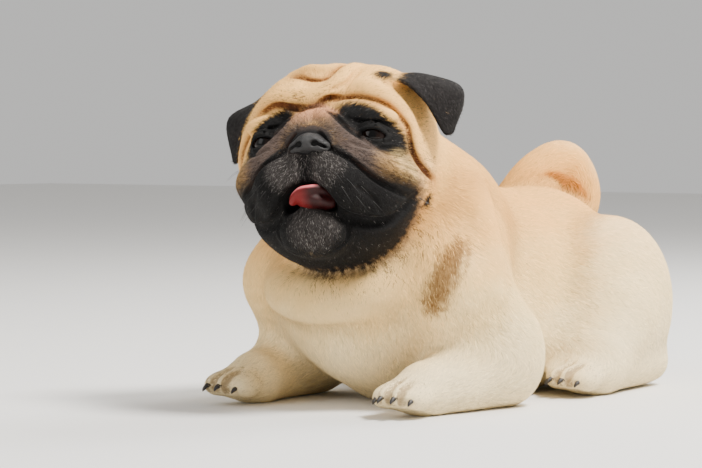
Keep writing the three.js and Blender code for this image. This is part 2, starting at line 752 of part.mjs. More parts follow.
// Each piece's solid, colour and roughness, by node name.
const ROUGHNESS = { coat: 0.95, ear: 0.85, nose: 0.45, tongue: 0.4, eye: 0.1 };
const pieces = new Map();
const headPieces = new Map();

const whole = carvedHead();
headPieces.set("head", [largest(whole.subtract(maskBall(GAP))), FAWN, ROUGHNESS.coat]);
headPieces.set("muzzle", [largest(whole.intersect(maskBall(0))), MASK, ROUGHNESS.coat]);
headPieces.set("nose", [noseSolid, NOSE_LEATHER, ROUGHNESS.nose]);
headPieces.set("tongue", [tongueSolid, TONGUE_PINK, ROUGHNESS.tongue]);
for (const [name, side] of Object.entries(SIDES)) {
  headPieces.set(`eye_${name}`, [sideOf(leftEye, side), EYE_BROWN, ROUGHNESS.eye]);
  headPieces.set(`ear_${name}`, [ears.get(name), EAR_BLACK, ROUGHNESS.ear]);
}

const tailSolid = drawn(tail, TAIL_BOX, TAIL_STEP);
let rest = drawn(bodyWithRoll, BODY_BOX, BODY_STEP);
rest = rest.subtract(floor).subtract(grown(tailSolid));
rest = rest.subtract(grown(placed(fullHead, headMatrix)));
for (const ear of ears.values()) {
  rest = rest.subtract(grown(placed(ear, headMatrix)));
}
const [tailTip, tailRoot] = halves(tailSolid, TAIL_CUT);
pieces.set("tail_root", [tailRoot, FAWN, ROUGHNESS.coat]);
pieces.set("tail_tip", [tailTip, FAWN, ROUGHNESS.coat]);
for (const [name, side] of Object.entries(SIDES)) {
  for (const [leg, { cuts, place }] of Object.entries(LEGS)) {
    const [flesh, remainder] = parted(rest, cuts, side);
    const foot = paw(place, side);
    rest = remainder.subtract(grown(foot));
    pieces.set(`${leg}_${name}`, [largest(flesh.add(foot)), FAWN, ROUGHNESS.coat]);
  }
}
const [neck, torso] = halves(rest, NECK_CUT);
pieces.set("neck", [neck, FAWN, ROUGHNESS.coat]);
pieces.set("torso", [torso, FAWN, ROUGHNESS.coat]);

function addMeshes(group, named) {
  for (const [name, [solid, color, roughness]] of named) {
    const material = new THREE.MeshStandardMaterial({ color, roughness, metalness: 0 });
    const mesh = new THREE.Mesh(geometryOf(solid), material);
    mesh.name = name;
    group.add(mesh);
  }
}

const pug = new THREE.Group();
const headGroup = new THREE.Group();
headGroup.applyMatrix4(headMatrix);
addMeshes(headGroup, headPieces);
addMeshes(pug, pieces);
pug.add(headGroup);
pug.updateMatrixWorld(true);
const box = new THREE.Box3().setFromObject(pug, true);
pug.position.set(-(box.min.x + box.max.x) / 2, -(box.min.y + box.max.y) / 2, -box.min.z);

export default pug;
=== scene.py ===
"""A fawn pug lying on its belly: one skin, a short coat of mesh tufts, eyes, nose, tongue, claws
and whiskers, on a pale floor in soft studio light.

The soft forms are fields: functions that are negative inside the dog and read roughly in
millimetres. They repeat the part's own forms from the same sizes, with finer folds added.
"""
import math

import bpy
import numpy as np
from mathutils import Euler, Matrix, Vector
from mathutils.bvhtree import BVHTree


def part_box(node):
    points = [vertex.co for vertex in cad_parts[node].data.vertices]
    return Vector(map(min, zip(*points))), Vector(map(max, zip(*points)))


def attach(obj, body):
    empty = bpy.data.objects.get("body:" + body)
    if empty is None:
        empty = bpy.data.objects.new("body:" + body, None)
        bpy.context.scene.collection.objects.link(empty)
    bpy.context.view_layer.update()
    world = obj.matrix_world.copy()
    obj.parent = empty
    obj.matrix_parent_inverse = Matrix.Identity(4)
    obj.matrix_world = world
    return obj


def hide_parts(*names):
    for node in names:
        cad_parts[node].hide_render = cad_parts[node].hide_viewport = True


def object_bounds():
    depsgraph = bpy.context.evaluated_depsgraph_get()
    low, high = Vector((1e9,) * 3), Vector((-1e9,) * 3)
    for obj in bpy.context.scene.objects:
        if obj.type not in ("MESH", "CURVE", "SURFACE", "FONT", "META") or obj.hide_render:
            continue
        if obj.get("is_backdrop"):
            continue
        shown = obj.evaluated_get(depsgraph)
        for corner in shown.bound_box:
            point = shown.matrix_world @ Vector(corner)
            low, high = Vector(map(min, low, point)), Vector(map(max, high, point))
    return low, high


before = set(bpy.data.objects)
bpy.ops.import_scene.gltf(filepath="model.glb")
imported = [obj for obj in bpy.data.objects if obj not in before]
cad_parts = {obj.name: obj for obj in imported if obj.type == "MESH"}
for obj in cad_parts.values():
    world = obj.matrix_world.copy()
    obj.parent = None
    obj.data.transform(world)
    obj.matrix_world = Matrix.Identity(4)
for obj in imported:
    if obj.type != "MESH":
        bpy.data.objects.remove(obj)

cad_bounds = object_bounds()
MM = 0.001
TINY = 1e-9
SEED = 7
rng = np.random.default_rng(SEED)

# Field building blocks. Points are rows of an array, in millimetres.
REACH = 34.0
RAY_HALVINGS = 24


def length(v):
    return np.sqrt(np.einsum("ij,ij->i", v, v))


def unit(v):
    return v / np.maximum(length(v), TINY)[:, None]


def soft(x, low, high):
    """0 below low, 1 above high, and smooth between."""
    t = np.clip((x - low) / (high - low), 0, 1)
    return t * t * (3 - 2 * t)


def faded(x, low, high):
    """1 below low, 0 above high, and smooth between."""
    return 1 - soft(x, low, high)


def flipped(v, p):
    """Vectors v with their X turned round where the points p are on the right."""
    return np.column_stack((v[:, 0] * np.sign(p[:, 0]), v[:, 1:]))


def mixed(a, b, share):
    return a + (b - a) * share[:, None]


def layered(base, layers):
    """Values with layers of (value, share) mixed over them in turn."""
    for value, share in layers:
        base = mixed(base, value, share)
    return base


def turning(degrees=(0, 0, 0)):
    """A turn about X, then Y, then Z."""
    return np.array(Euler([math.radians(d) for d in degrees], "XYZ").to_matrix(), np.float32)


def ellipsoid(at, r, turn=(0, 0, 0)):
    axes = turning(turn)
    at = np.float32(at)
    r = np.float32(r)

    def field(p):
        q = ((p - at) @ axes) / r
        far = length(q)
        return far * (far - 1) / np.maximum(length(q / r), TINY)

    return field


def limb(stations):
    """A chain of round cones through [x, y, z, radius] stations."""
    s = np.float32(stations)
    low = (s[:, :3] - s[:, 3:]).min(0) - REACH
    high = (s[:, :3] + s[:, 3:]).max(0) + REACH

    def field(p):
        out = np.full(len(p), REACH, np.float32)
        near = ((p > low) & (p < high)).all(1)
        q = p[near]
        best = out[near]
        for a, b in zip(s[:-1], s[1:]):
            way = b[:3] - a[:3]
            t = np.clip((q - a[:3]) @ way / (way @ way), 0, 1)
            away = length(q - a[:3] - t[:, None] * way)
            best = np.minimum(best, away - a[3] - t * (b[3] - a[3]))
        out[near] = best
        return out

    return field


def curve(points, steps):
    """A smooth curve through points, with steps stretches between each two."""
    p = np.asarray(points, float)
    p = np.vstack((2 * p[0] - p[1], p, 2 * p[-1] - p[-2]))
    gaps = np.sqrt(np.linalg.norm(np.diff(p[:, :3], axis=0), axis=1))
    out = []
    for i in range(1, len(p) - 2):
        a, b, c, d = p[i - 1:i + 3]
        g, h, k = gaps[i - 1:i + 2]
        start = h * ((b - a) / g - (c - a) / (g + h) + (c - b) / h)
        end = h * ((c - b) / h - (d - b) / (h + k) + (d - c) / k)
        for t in np.arange(steps) / steps:
            bend = (-3 * b + 3 * c - 2 * start - end) * t**2
            out.append(b + start * t + bend + (2 * b - 2 * c + start + end) * t**3)
    out.append(p[-2])
    return np.array(out)


def roll(stations, steps=4):
    """A roll of skin: a limb that runs smoothly through a few stations."""
    stations = np.asarray(stations, float)
    path = curve(stations[:, :3], steps)
    at = np.arange(len(path)) / steps
    radius = np.interp(at, np.arange(len(stations)), stations[:, 3])
    return limb(np.column_stack((path, radius)))


def laid(field, stations, way, middle=(0, 0, 0)):
    """Stations [x, y, z, radius, height] moved along their rays from a middle point: with
    way 1 each stands its height above the field's skin, with way -1 it sinks that deep."""
    s = np.float32(stations)
    middle = np.float32(middle)
    far = length(s[:, :3] - middle)
    rays = (s[:, :3] - middle) / far[:, None]
    near = np.zeros_like(far)
    far = 2 * far
    for _ in range(RAY_HALVINGS):
        between = (near + far) / 2
        inside = field(middle + rays * between[:, None]) < 0
        near = np.where(inside, between, near)
        far = np.where(inside, far, between)
    reach = near - way * (s[:, 3] - s[:, 4])
    return np.column_stack((middle + rays * reach[:, None], s[:, 3]))


def mirrored(field):
    """A field whose left side, drawn once, stands on both sides."""
    return lambda p: field(flipped(p, p))


def join(width, *fields):
    """Joins fields with a soft crease of the given width."""

    def field(p):
        d = fields[0](p)
        for other in fields[1:]:
            f = other(p)
            h = np.maximum(width - np.abs(d - f), 0) / width
            d = np.minimum(d, f) - h * h * width / 4
        return d

    return field


def carve(width, base, *cuts):
    """Cuts fields out of another with a soft edge."""

    def field(p):
        d = base(p)
        for cut in cuts:
            f = -cut(p)
            h = np.maximum(width - np.abs(d - f), 0) / width
            d = np.maximum(d, f) + h * h * width / 4
        return d

    return field


def within(low, high, field):
    """The field inside a box, and out of reach elsewhere."""
    low = np.float32(low) - REACH
    high = np.float32(high) + REACH

    def boxed(p):
        out = np.full(len(p), REACH, np.float32)
        near = ((p > low) & (p < high)).all(1)
        if near.any():
            out[near] = field(p[near])
        return out

    return boxed


# Sizes of the body, in the part's own drawing frame.
CHEST = ((0, -40, 92), (82, 84, 96))
BREAST = ((0, -100, 88), (62, 46, 66))
WITHERS = ((0, -30, 142), (46, 66, 40))
LOIN = ((0, 66, 82), (80, 92, 84))
RUMP = ((0, 146, 86), (76, 72, 78))
BELLY = ((0, 50, 44), (78, 120, 49))
NECK = ((0, -28, 132, 73), (4, -80, 162, 65), (4, -108, 174, 60))
THROAT_ROLL = (
    (-60, -98, 98, 18), (-38, -138, 88, 19), (0, -150, 84, 20), (38, -138, 88, 19), (60, -96, 98, 18),
)
SHOULDER = ((64, -62, 104), (37, 48, 64))
UPPER_ARM = ((76, -90, 92, 36), (90, -44, 52, 34))
FOREARM = ((90, -36, 27, 29), (86, -90, 23, 25), (80, -122, 19, 22))
THIGH = ((76, 148, 68), (44, 66, 72))
KNEE = ((86, 118, 56, 36), (94, 92, 32, 30))
HIND_FOOT = ((94, 176, 19, 17), (100, 120, 17, 16), (100, 84, 17, 17))
TAIL = (
    (0, 194, 132, 25), (2, 207, 156, 24), (-2, 195, 179, 23), (-13, 170, 168, 22),
    (-23, 154, 148, 19), (-28, 152, 130, 15),
)
# The curled tail's inner edge on its left, which ends in a hollow, as (x, y, z, radius). The coat is also
# painted darker in the hollow, as shade.
TAIL_HOLLOW = (
    (7, 140, 164, 1.5), (5, 150, 169, 2.5), (7, 161, 171, 3), (11, 171, 168, 3.5), (14, 179, 162, 5.5),
    (18, 184, 157, 8), (22, 188, 152, 8),
)
TAIL_EDGE = 3
# Soft folds down each side of the neck, as (x, y, z, radius, height), about the neck's middle.
NECK_FOLDS = (
    ((62, -34, 176, 14, 1), (80, -55, 165, 15, 4), (92, -65, 146, 15, 5), (100, -69, 128, 15, 5),
     (106, -74, 110, 14, 4), (108, -84, 90, 13, 1)),
)
NECK_MIDDLE = (0, -50, 110)
NECK_FOLD_CREASE = 10
BODY_CREASE = 30
LEG_CREASE = 24
ROLL_CREASE = 12

# Paws. Each toe is (sideways, forward, up) from the paw's middle.
PALM = (20, 24, 15)
HEEL = ((0, 16, 1), (17, 20, 15))
TOE = (8.5, 14, 9.5)
# The slits between the toes, as (forward, up, radius, depth) along each.
TOE_SLITS = (-10, 0, 10)
SLIT_PATH = ((9, 14, 1.6, 0.6), (17, 11, 2.2, 2), (25, 7, 2.4, 2.7), (29, 0, 2.4, 2.8), (29, -8, 2.2, 2.2))
SLIT_EDGE = 1.4
PAW_MIDDLE = (0, -4, -2)
PAW_REACH = 60
TOES = ((-15, 12, -2), (-5.5, 21, 0), (5.5, 21, 0), (15, 12, -2))
FORE_PAW = ((79, -142, 17), 4)
HIND_PAW = ((100, 64, 16), -8)

# The head, on its own frame: +X its left, -Y its face, +Z its crown.
HEAD_AT = np.float32((3, -125, 190))
HEAD_YAW = 17.5
HEAD_PITCH = 10
HEAD_ROLL = 4
SKULL = ((0, 12, 14), (64, 64, 55))
TEMPLE = ((30, 8, 20), (34, 50, 44))
CHEEK = ((40, -6, -14), (34, 44, 42))
MUZZLE = ((0, -46, -28), (42, 34, 34))
FLEW = ((22, -60, -32), (24, 25, 27))
FLEW_SIDE = ((37, -38, -32), (23, 27, 27))
JAW = ((0, -20, -58), (50, 48, 30))
CHIN = ((0, -57, -67), (27, 21, 18))
CHIN_PAD = ((5, -63.5, -63.5), (19, 17.5, 16.5))
NOSE_BRIDGE = ((0, -58, -1), (19, 20, 13))
BROW = ((40, -44, 18), (20, 10, 9))
BROW_INNER = ((19, -46, 24), (9, 9, 9))
MASK = ((0, -50, -46), (84, 60, 46), (-25, 0, 0))

# Rolls and creases of the face, as (x, y, z, radius, height or depth) along each.
NOSE_ROLL = (
    (0, -54, 20, 10, 6), (13, -56, 12, 10, 6), (26, -60, 1, 9.5, 6), (38, -64, -11, 9, 5.5),
    (52, -58, -20, 9, 5), (64, -46, -27, 9, 3.5), (73, -28, -33, 8, 0),
)
FRAME_ROLL = (
    (26, -40, 47, 10, 3.5), (36, -39, 44, 10, 5), (53, -36, 36, 10, 5), (65, -32, 24, 9, 4),
    (70, -32, 9, 9, 4), (73, -30, -6, 9, 3), (77, -16, -18, 8, 0),
)
THUMB_ROLL = (
    (-52, -37, 35, 9, 4), (-40, -41, 37, 9.5, 6), (-24, -46, 37, 10, 8), (-8, -48, 37, 10.5, 8.5),
    (5, -47, 41, 10, 8.5), (12, -43, 48, 9, 7.5), (15, -33, 56, 8, 6), (16, -20, 61, 7, 4),
    (17, -6, 66, 6, 1),
)
CROWN_ROLL = (
    (-32, -12, 59, 6, 1.5), (-17, -19, 60, 7, 5.5), (-5, -21, 61, 7, 5.5), (4, -14, 65, 6, 4),
    (8, -1, 68, 5, 0.5),
)
MOUTH_LINE = (
    (14, -84, -45, 4, 5), (21, -80, -54, 4, 6), (30, -71, -62, 4, 6), (44, -57, -64, 4, 6),
    (56, -44, -60, 4, 5), (65, -34, -49, 4, 4), (71, -24, -38, 4, 1),
)
PHILTRUM = ((0, -84, -12, 4, 3), (0, -84, -24, 4, 4), (0, -82, -33, 4, 4))
MOUTH_CAVITY = ((9, -74, -42), (14, 22, 6.5), (0, 42, 0))
NOSE = ((0, -73, -2), (14.5, 11, 8.5))
NOSTRIL = ((6, -83, -3), (3, 6, 2.4), (0, -18, 0))
NOSTRIL_SLIT = ((11.5, -80, -5), (4.5, 5, 1.3), (0, 24, 0))
EYE_AT = np.float32((41, -45, 4))
EYE_RADIUS = 11.5
EYE_TURN = (0, 9, 18)
LID_OPENING = ((0, -13, 0), (14.5, 14, 5.6))
LID_REACH = 12.6
LID_RADIUS = 1.6
LID_HALF_WIDTH = 11.4
LID_HEIGHTS = (5.2, -4.7)
FORM_CREASE = 22
LIP_CREASE = 6
FOLD_CREASE = 4
GROOVE_EDGE = 4
LID_CREASE = 3
HOOD_THICK = 2.2
HOOD_CREASE = 6
NOSTRIL_EDGE = 1.5
EYE_EDGE = 1
EYE_GAP = 0.5
HEAD_BOX = ((-100, -100, -105), (100, 100, 90))
EARS_BOX = ((-100, -60, -10), (100, 40, 80))

# An ear's rows of points, from its root on the skull over a fold to its tip. The right ear
# hangs lower and closer to the head than the left.
EAR_ROOT = ((41, -24, 54), (46, -9, 60), (52, 5, 57), (57, 17, 46))
EAR_RISE = ((60, -28, 47), (68, -14, 54), (79, 0, 51), (86, 10, 43))
EAR_FOLD = ((75, -27, 33), (87, -17, 41), (96, -6, 43), (94, 3, 36))
EAR_TIP = ((85, -17, 12), (87, -15, 9), (90, -12, 10), (91, -9, 14))
RIGHT_EAR_MOVE = (-8, 0, -10)
EAR_SUNK = 5
EAR_HALF_THICK = (1.9, 1.35)
EAR_REACH = 9
# Steps between the ear's rows and between the points along them, and so its squares.
EAR_DOWN_STEPS = 8
EAR_ACROSS_STEPS = 4
EAR_ROWS = 3 * EAR_DOWN_STEPS
EAR_COLUMNS = 3 * EAR_ACROSS_STEPS

# Fine folds that only the skin has: the long groove over both eyes, the crease on the crown and
# the side of the thumb-shaped fold, and then those that are alike on both sides.
LONG_GROOVE = (
    (-66, -34, -8, 1.5, 1), (-63, -36, 4, 1.6, 2), (-59, -38, 14, 1.6, 2.4), (-53, -40, 22, 1.7, 2.6),
    (-43, -43, 29, 1.8, 2.8), (-31, -46, 30, 2, 3.2), (-17, -52, 28, 2.3, 3.7), (-2, -55, 27, 2.3, 3.8),
    (7, -49, 32, 2.1, 3.4), (17, -47, 35, 1.7, 2.7), (27, -45, 35, 1.5, 2.4), (39, -44, 33, 1.5, 2.3),
    (51, -41, 28, 1.5, 2.2), (59, -37, 19, 1.6, 2.3), (64, -36, 11, 1.7, 2.5), (66, -36, 1, 1.8, 2.7),
    (67, -34, -7, 2, 3.2), (71, -28, -15, 2.1, 3.4), (75, -14, -21, 2, 3), (76, 2, -24, 1.8, 1),
)
CROWN_GROOVE = (
    (-30, -22, 55, 1.8, 1), (-20, -27, 54, 2, 2.6), (-11, -31, 51, 2.1, 3.4), (-3, -32, 52, 2.1, 3.4),
    (4, -25, 57, 2, 3.2), (9, -16, 62, 1.9, 2.8), (12, -4, 66, 1.7, 1),
)
THUMB_GROOVE = (
    (11, -47, 38, 1.8, 1.5), (19, -43, 44, 1.9, 2.6), (22, -34, 52, 1.8, 2.2), (23, -22, 59, 1.6, 0.6),
)
ROLL_GROOVE = (
    (9, -70, 4, 2, 3), (17, -76, -7, 2.3, 4), (33, -75, -17, 2.4, 4.2), (46, -65, -29, 2.3, 3.8),
    (58, -49, -37, 2.1, 2.6), (68, -32, -42, 2, 0.8),
)
ROLL_TOP_GROOVE = (
    (9, -60, 26, 1.8, 1.6), (18, -62, 17, 2, 3.2), (26, -60, 7, 2, 3.4), (37, -59, -1, 1.9, 3),
    (48, -56, -8, 1.7, 2.2), (58, -50, -12, 1.6, 0.8),
)
UNDER_EYE = (
    (26, -58, -3, 1.3, 0.8), (37, -59, -6, 1.3, 1.5), (49, -53, -6, 1.3, 1.5), (59, -43, -4, 1.3, 0.6),
)
BROW_CREASE = (
    (24, -52, 17, 1.4, 0.8), (36, -54, 15, 1.4, 1.7), (49, -49, 13, 1.4, 1.6), (59, -40, 6, 1.3, 0.6),
)
LIP_FOLD = ((36, -70, -34, 2, 1), (46, -62, -44, 2, 1.5), (50, -55, -54, 2, 0.7))
CHIN_SIDE = (
    (24, -66, -52, 1.6, 1), (27, -63, -62, 1.8, 2.4), (25, -61, -74, 1.8, 2.4), (14, -62, -83, 1.6, 0.8),
)
LONE_GROOVES = (LONG_GROOVE, CROWN_GROOVE, THUMB_GROOVE)
PAIRED_GROOVES = (ROLL_GROOVE, ROLL_TOP_GROOVE, UNDER_EYE, BROW_CREASE, LIP_FOLD, CHIN_SIDE)
GROOVE_SOFTNESS = 1.2

# Depth of the coat over the skin, where it is bare, on the face, the head and the body.
DEPTH_BARE = 0.2
DEPTH_FACE = 0.4
DEPTH_HEAD = 0.7
DEPTH_BODY = 1.2
FLOOR_GAP = 0.4
# How the depth comes in, in millimetres: inward of the head's skin, inside the mask, round the
# eyes' balls, and from within the head.
HEAD_RAMP = (-22, 0)
MASK_RAMP = (-14, 4)
EYE_RAMP = (-14, -5)
INNER_RAMP = (-40, -8)

head_axes = turning((-HEAD_PITCH, -HEAD_ROLL, HEAD_YAW))
eye_axes = turning(EYE_TURN)


def to_head(p):
    return (p - HEAD_AT) @ head_axes


def from_head(q):
    return q @ head_axes.T + HEAD_AT


def mirrored_form(form):
    return mirrored(ellipsoid(*form))


def paw(at, yaw, plain=False):
    """A paw on the left, toes forward, in the drawing frame, plain or with slits between the toes."""
    axes = turning((0, 0, yaw))
    forms = [ellipsoid((0, 0, 0), PALM), ellipsoid(*HEEL)]
    forms += [ellipsoid((x, -forward, z), TOE) for x, forward, z in TOES]
    smooth = join(LIP_CREASE, *forms)
    slits = [[(x, -forward, z, r, deep) for forward, z, r, deep in SLIT_PATH] for x in TOE_SLITS]
    grooves = [] if plain else [roll(laid(smooth, slit, -1, PAW_MIDDLE)) for slit in slits]
    shape = carve(SLIT_EDGE, smooth, *grooves)
    at = np.float32(at)
    return within(at - PAW_REACH, at + PAW_REACH, lambda p: shape((p - at) @ axes))


def lid(height):
    """The rim of skin that bends over the eye from corner to corner."""
    stations = []
    for s in (-1, -0.5, 0, 0.5, 1):
        side = s * LID_HALF_WIDTH
        up = height * (1 - s * s)
        out = math.sqrt(LID_REACH**2 - side**2 - up**2)
        stations.append((*(EYE_AT + eye_axes @ (side, -out, up)), LID_RADIUS))
    return roll(stations, 3)


def near_head(field):
    return within(*HEAD_BOX, field)


def raised(field, stations, way=1, steps=4):
    """A roll laid on a field's skin or, with way -1, a groove to be cut into it."""
    return roll(laid(field, stations, way), steps)


# The head's forms, from plain to folded.
head_forms = join(
    FORM_CREASE, ellipsoid(*SKULL), mirrored_form(TEMPLE), mirrored_form(CHEEK), ellipsoid(*MUZZLE),
    ellipsoid(*NOSE_BRIDGE), ellipsoid(*JAW), mirrored_form(FLEW_SIDE),
)
plain_head = join(LIP_CREASE, head_forms, mirrored_form(FLEW), ellipsoid(*CHIN))
nose_roll = mirrored(raised(head_forms, NOSE_ROLL))
folded_head = join(
    FOLD_CREASE, plain_head, nose_roll, mirrored(raised(head_forms, FRAME_ROLL)),
    raised(head_forms, THUMB_ROLL), raised(head_forms, CROWN_ROLL),
    mirrored_form(BROW), mirrored_form(BROW_INNER), ellipsoid(*CHIN_PAD),
)
hood = ellipsoid(EYE_AT, (EYE_RADIUS + HOOD_THICK,) * 3)
hooded_head = join(HOOD_CREASE, folded_head, mirrored(hood))
lone_lines = [raised(folded_head, line, -1, 3) for line in LONE_GROOVES]
paired_lines = [mirrored(raised(folded_head, line, -1, 3)) for line in PAIRED_GROOVES]
wrinkle_lines = lone_lines + paired_lines
wrinkled_head = carve(GROOVE_SOFTNESS, hooded_head, *wrinkle_lines)
mouth_cavity = mirrored_form(MOUTH_CAVITY)
open_head = carve(
    GROOVE_EDGE, wrinkled_head, mirrored(raised(plain_head, MOUTH_LINE, -1)),
    raised(plain_head, PHILTRUM, -1), mouth_cavity,
    mirrored(ellipsoid(EYE_AT + eye_axes @ LID_OPENING[0], LID_OPENING[1], EYE_TURN)),
)
eye_ball = mirrored(ellipsoid(EYE_AT, (EYE_RADIUS,) * 3))
lidded_head = join(LID_CREASE, open_head, *[mirrored(lid(height)) for height in LID_HEIGHTS])
nose_form = ellipsoid(*NOSE)
mask_form = ellipsoid(*MASK)
near_plain, near_hooded, near_lidded = (
    near_head(head) for head in (plain_head, hooded_head, lidded_head)
)
near_eyes = near_head(eye_ball)


def ear_sheet(move):
    """A fine sheet through an ear's rows, moved, as points and squares, drawn as on the left."""
    root = laid(plain_head, [(*(np.array(p) + move), 0, -EAR_SUNK) for p in EAR_ROOT], 1)[:, :3]
    rows = [root, *[np.float32(row) + np.float32(move) for row in (EAR_RISE, EAR_FOLD, EAR_TIP)]]
    down = [curve(line, EAR_DOWN_STEPS) for line in zip(*rows)]
    sheet = np.array([curve(line, EAR_ACROSS_STEPS) for line in zip(*down)])
    long, wide = sheet.shape[:2]
    corner = (np.arange(long - 1)[:, None] * wide + np.arange(wide - 1)).ravel()
    squares = np.column_stack((corner, corner + 1, corner + wide + 1, corner + wide))
    return sheet.reshape(-1, 3), squares


ear_sheets = [ear_sheet(move) for move in ((0, 0, 0), RIGHT_EAR_MOVE)]
ear_trees = [BVHTree.FromPolygons(points.tolist(), squares.tolist()) for points, squares in ear_sheets]


def ear_field(side):
    """An ear's thin form: side 0 is the left, 1 the right, both drawn on the left."""
    points = ear_sheets[side][0]
    root_thick, tip_thick = EAR_HALF_THICK

    def field(p):
        out = np.full(len(p), REACH, np.float32)
        for i, point in enumerate(p.tolist()):
            _, _, index, distance = ear_trees[side].find_nearest(point, REACH)
            if index is not None:
                along = (index // EAR_COLUMNS + 0.5) / EAR_ROWS
                out[i] = distance - root_thick - along * (tip_thick - root_thick)
        return out

    return within(points.min(0) + REACH - EAR_REACH, points.max(0) - REACH + EAR_REACH, field)


ear_fields = [ear_field(side) for side in range(2)]


def ears(q):
    drawn = flipped(q, q)
    out = np.empty(len(q), np.float32)
    for side, field in enumerate(ear_fields):
        mine = (q[:, 0] > 0) == (side == 0)
        out[mine] = field(drawn[mine])
    return out


near_ears = within(*EARS_BOX, ears)

# The body's forms.
trunk = join(BODY_CREASE, *[ellipsoid(*form) for form in (CHEST, BREAST, LOIN, RUMP, BELLY, WITHERS)])
neck = limb(NECK)
forearm = mirrored(limb(FOREARM))
foreleg = mirrored(join(LEG_CREASE, ellipsoid(*SHOULDER), limb(UPPER_ARM), limb(FOREARM)))
hindleg = mirrored(join(LEG_CREASE, ellipsoid(*THIGH), limb(KNEE)))
hind_foot = mirrored(limb(HIND_FOOT))
fore_paws = mirrored(paw(*FORE_PAW))
hind_paws = mirrored(paw(*HIND_PAW))
# The paws without their slits, against which the painted shade in the slits is measured.
plain_paws = mirrored(join(LIP_CREASE, paw(*FORE_PAW, plain=True), paw(*HIND_PAW, plain=True)))
tail_hollow = roll(TAIL_HOLLOW)
tail = carve(TAIL_EDGE, roll(TAIL, 6), tail_hollow)
plain_body = join(LEG_CREASE, trunk, foreleg, hindleg, neck)
neck_folds = [mirrored(roll(laid(plain_body, fold, 1, NECK_MIDDLE))) for fold in NECK_FOLDS]
body = join(NECK_FOLD_CREASE, plain_body, *neck_folds)
whole_body = join(ROLL_CREASE, body, roll(THROAT_ROLL, 6), hind_foot, fore_paws, hind_paws, tail)


def all_paws(p):
    return np.minimum(fore_paws(p), hind_paws(p))


def coat_depth(q, head_near):
    """How deep the coat lies over the skin, at points q on the head's frame."""
    on_head = soft(-head_near, *HEAD_RAMP)
    face = soft(-mask_form(q), *MASK_RAMP)
    eye = soft(-eye_ball(q), *EYE_RAMP)
    inner = soft(-head_near, *INNER_RAMP)
    depth = DEPTH_BODY + on_head * (DEPTH_HEAD - DEPTH_BODY)
    depth += on_head * face * (DEPTH_FACE - DEPTH_HEAD)
    depth *= 1 - eye * inner
    return np.maximum(depth, DEPTH_BARE)


NECK_CREASE = 9
EAR_CREASE = 7


def skin_field(p):
    """The dog's skin: its outline out to the coat's tips, less the coat's depth, and its ears."""
    q = to_head(p)
    head_near = near_lidded(q)
    outline = join(NECK_CREASE, lambda _: whole_body(p), lambda _: head_near)(p)
    skin = outline + coat_depth(q, head_near)
    skin = join(EAR_CREASE, lambda _: skin, lambda _: near_ears(q))(p)
    skin = carve(EYE_EDGE, lambda _: skin, lambda _: near_eyes(q) - EYE_GAP)(p)
    return np.maximum(skin, FLOOR_GAP - p[:, 2])


def steps_of(*stretches):
    """An axis of samples: each stretch is (start, end, step)."""
    return np.concatenate([np.arange(*stretch) for stretch in stretches])


def sampled(field, axes, coarse=4, margin=1.0):
    """The field on a grid of samples, worked out only near its skin."""
    axes = [axis[: (len(axis) - 1) // coarse * coarse + 1] for axis in axes]
    shape = [len(axis) for axis in axes]
    rough_axes = [axis[::coarse] for axis in axes]
    rough = field(np.stack(np.meshgrid(*rough_axes, indexing="ij"), -1).reshape(-1, 3).astype(np.float32))
    rough = rough.reshape([len(axis) for axis in rough_axes])
    diagonal = math.hypot(*[np.diff(axis).max() for axis in rough_axes])
    fine = np.repeat(np.repeat(np.repeat(rough, coarse, 0), coarse, 1), coarse, 2)
    fine = fine[: shape[0], : shape[1], : shape[2]].copy()
    close = np.abs(rough) < diagonal * margin
    cells = np.zeros([n - 1 for n in rough.shape], bool)
    for i, j, k in np.ndindex(2, 2, 2):
        cells |= close[i:rough.shape[0] - 1 + i, j:rough.shape[1] - 1 + j, k:rough.shape[2] - 1 + k]
    marked = np.zeros(shape, bool)
    for i, j, k in np.argwhere(cells) * coarse:
        marked[i:i + coarse + 1, j:j + coarse + 1, k:k + coarse + 1] = True
    at = np.argwhere(marked)
    points = np.column_stack([axis[at[:, n]] for n, axis in enumerate(axes)]).astype(np.float32)
    fine[marked] = field(points)
    return axes, fine


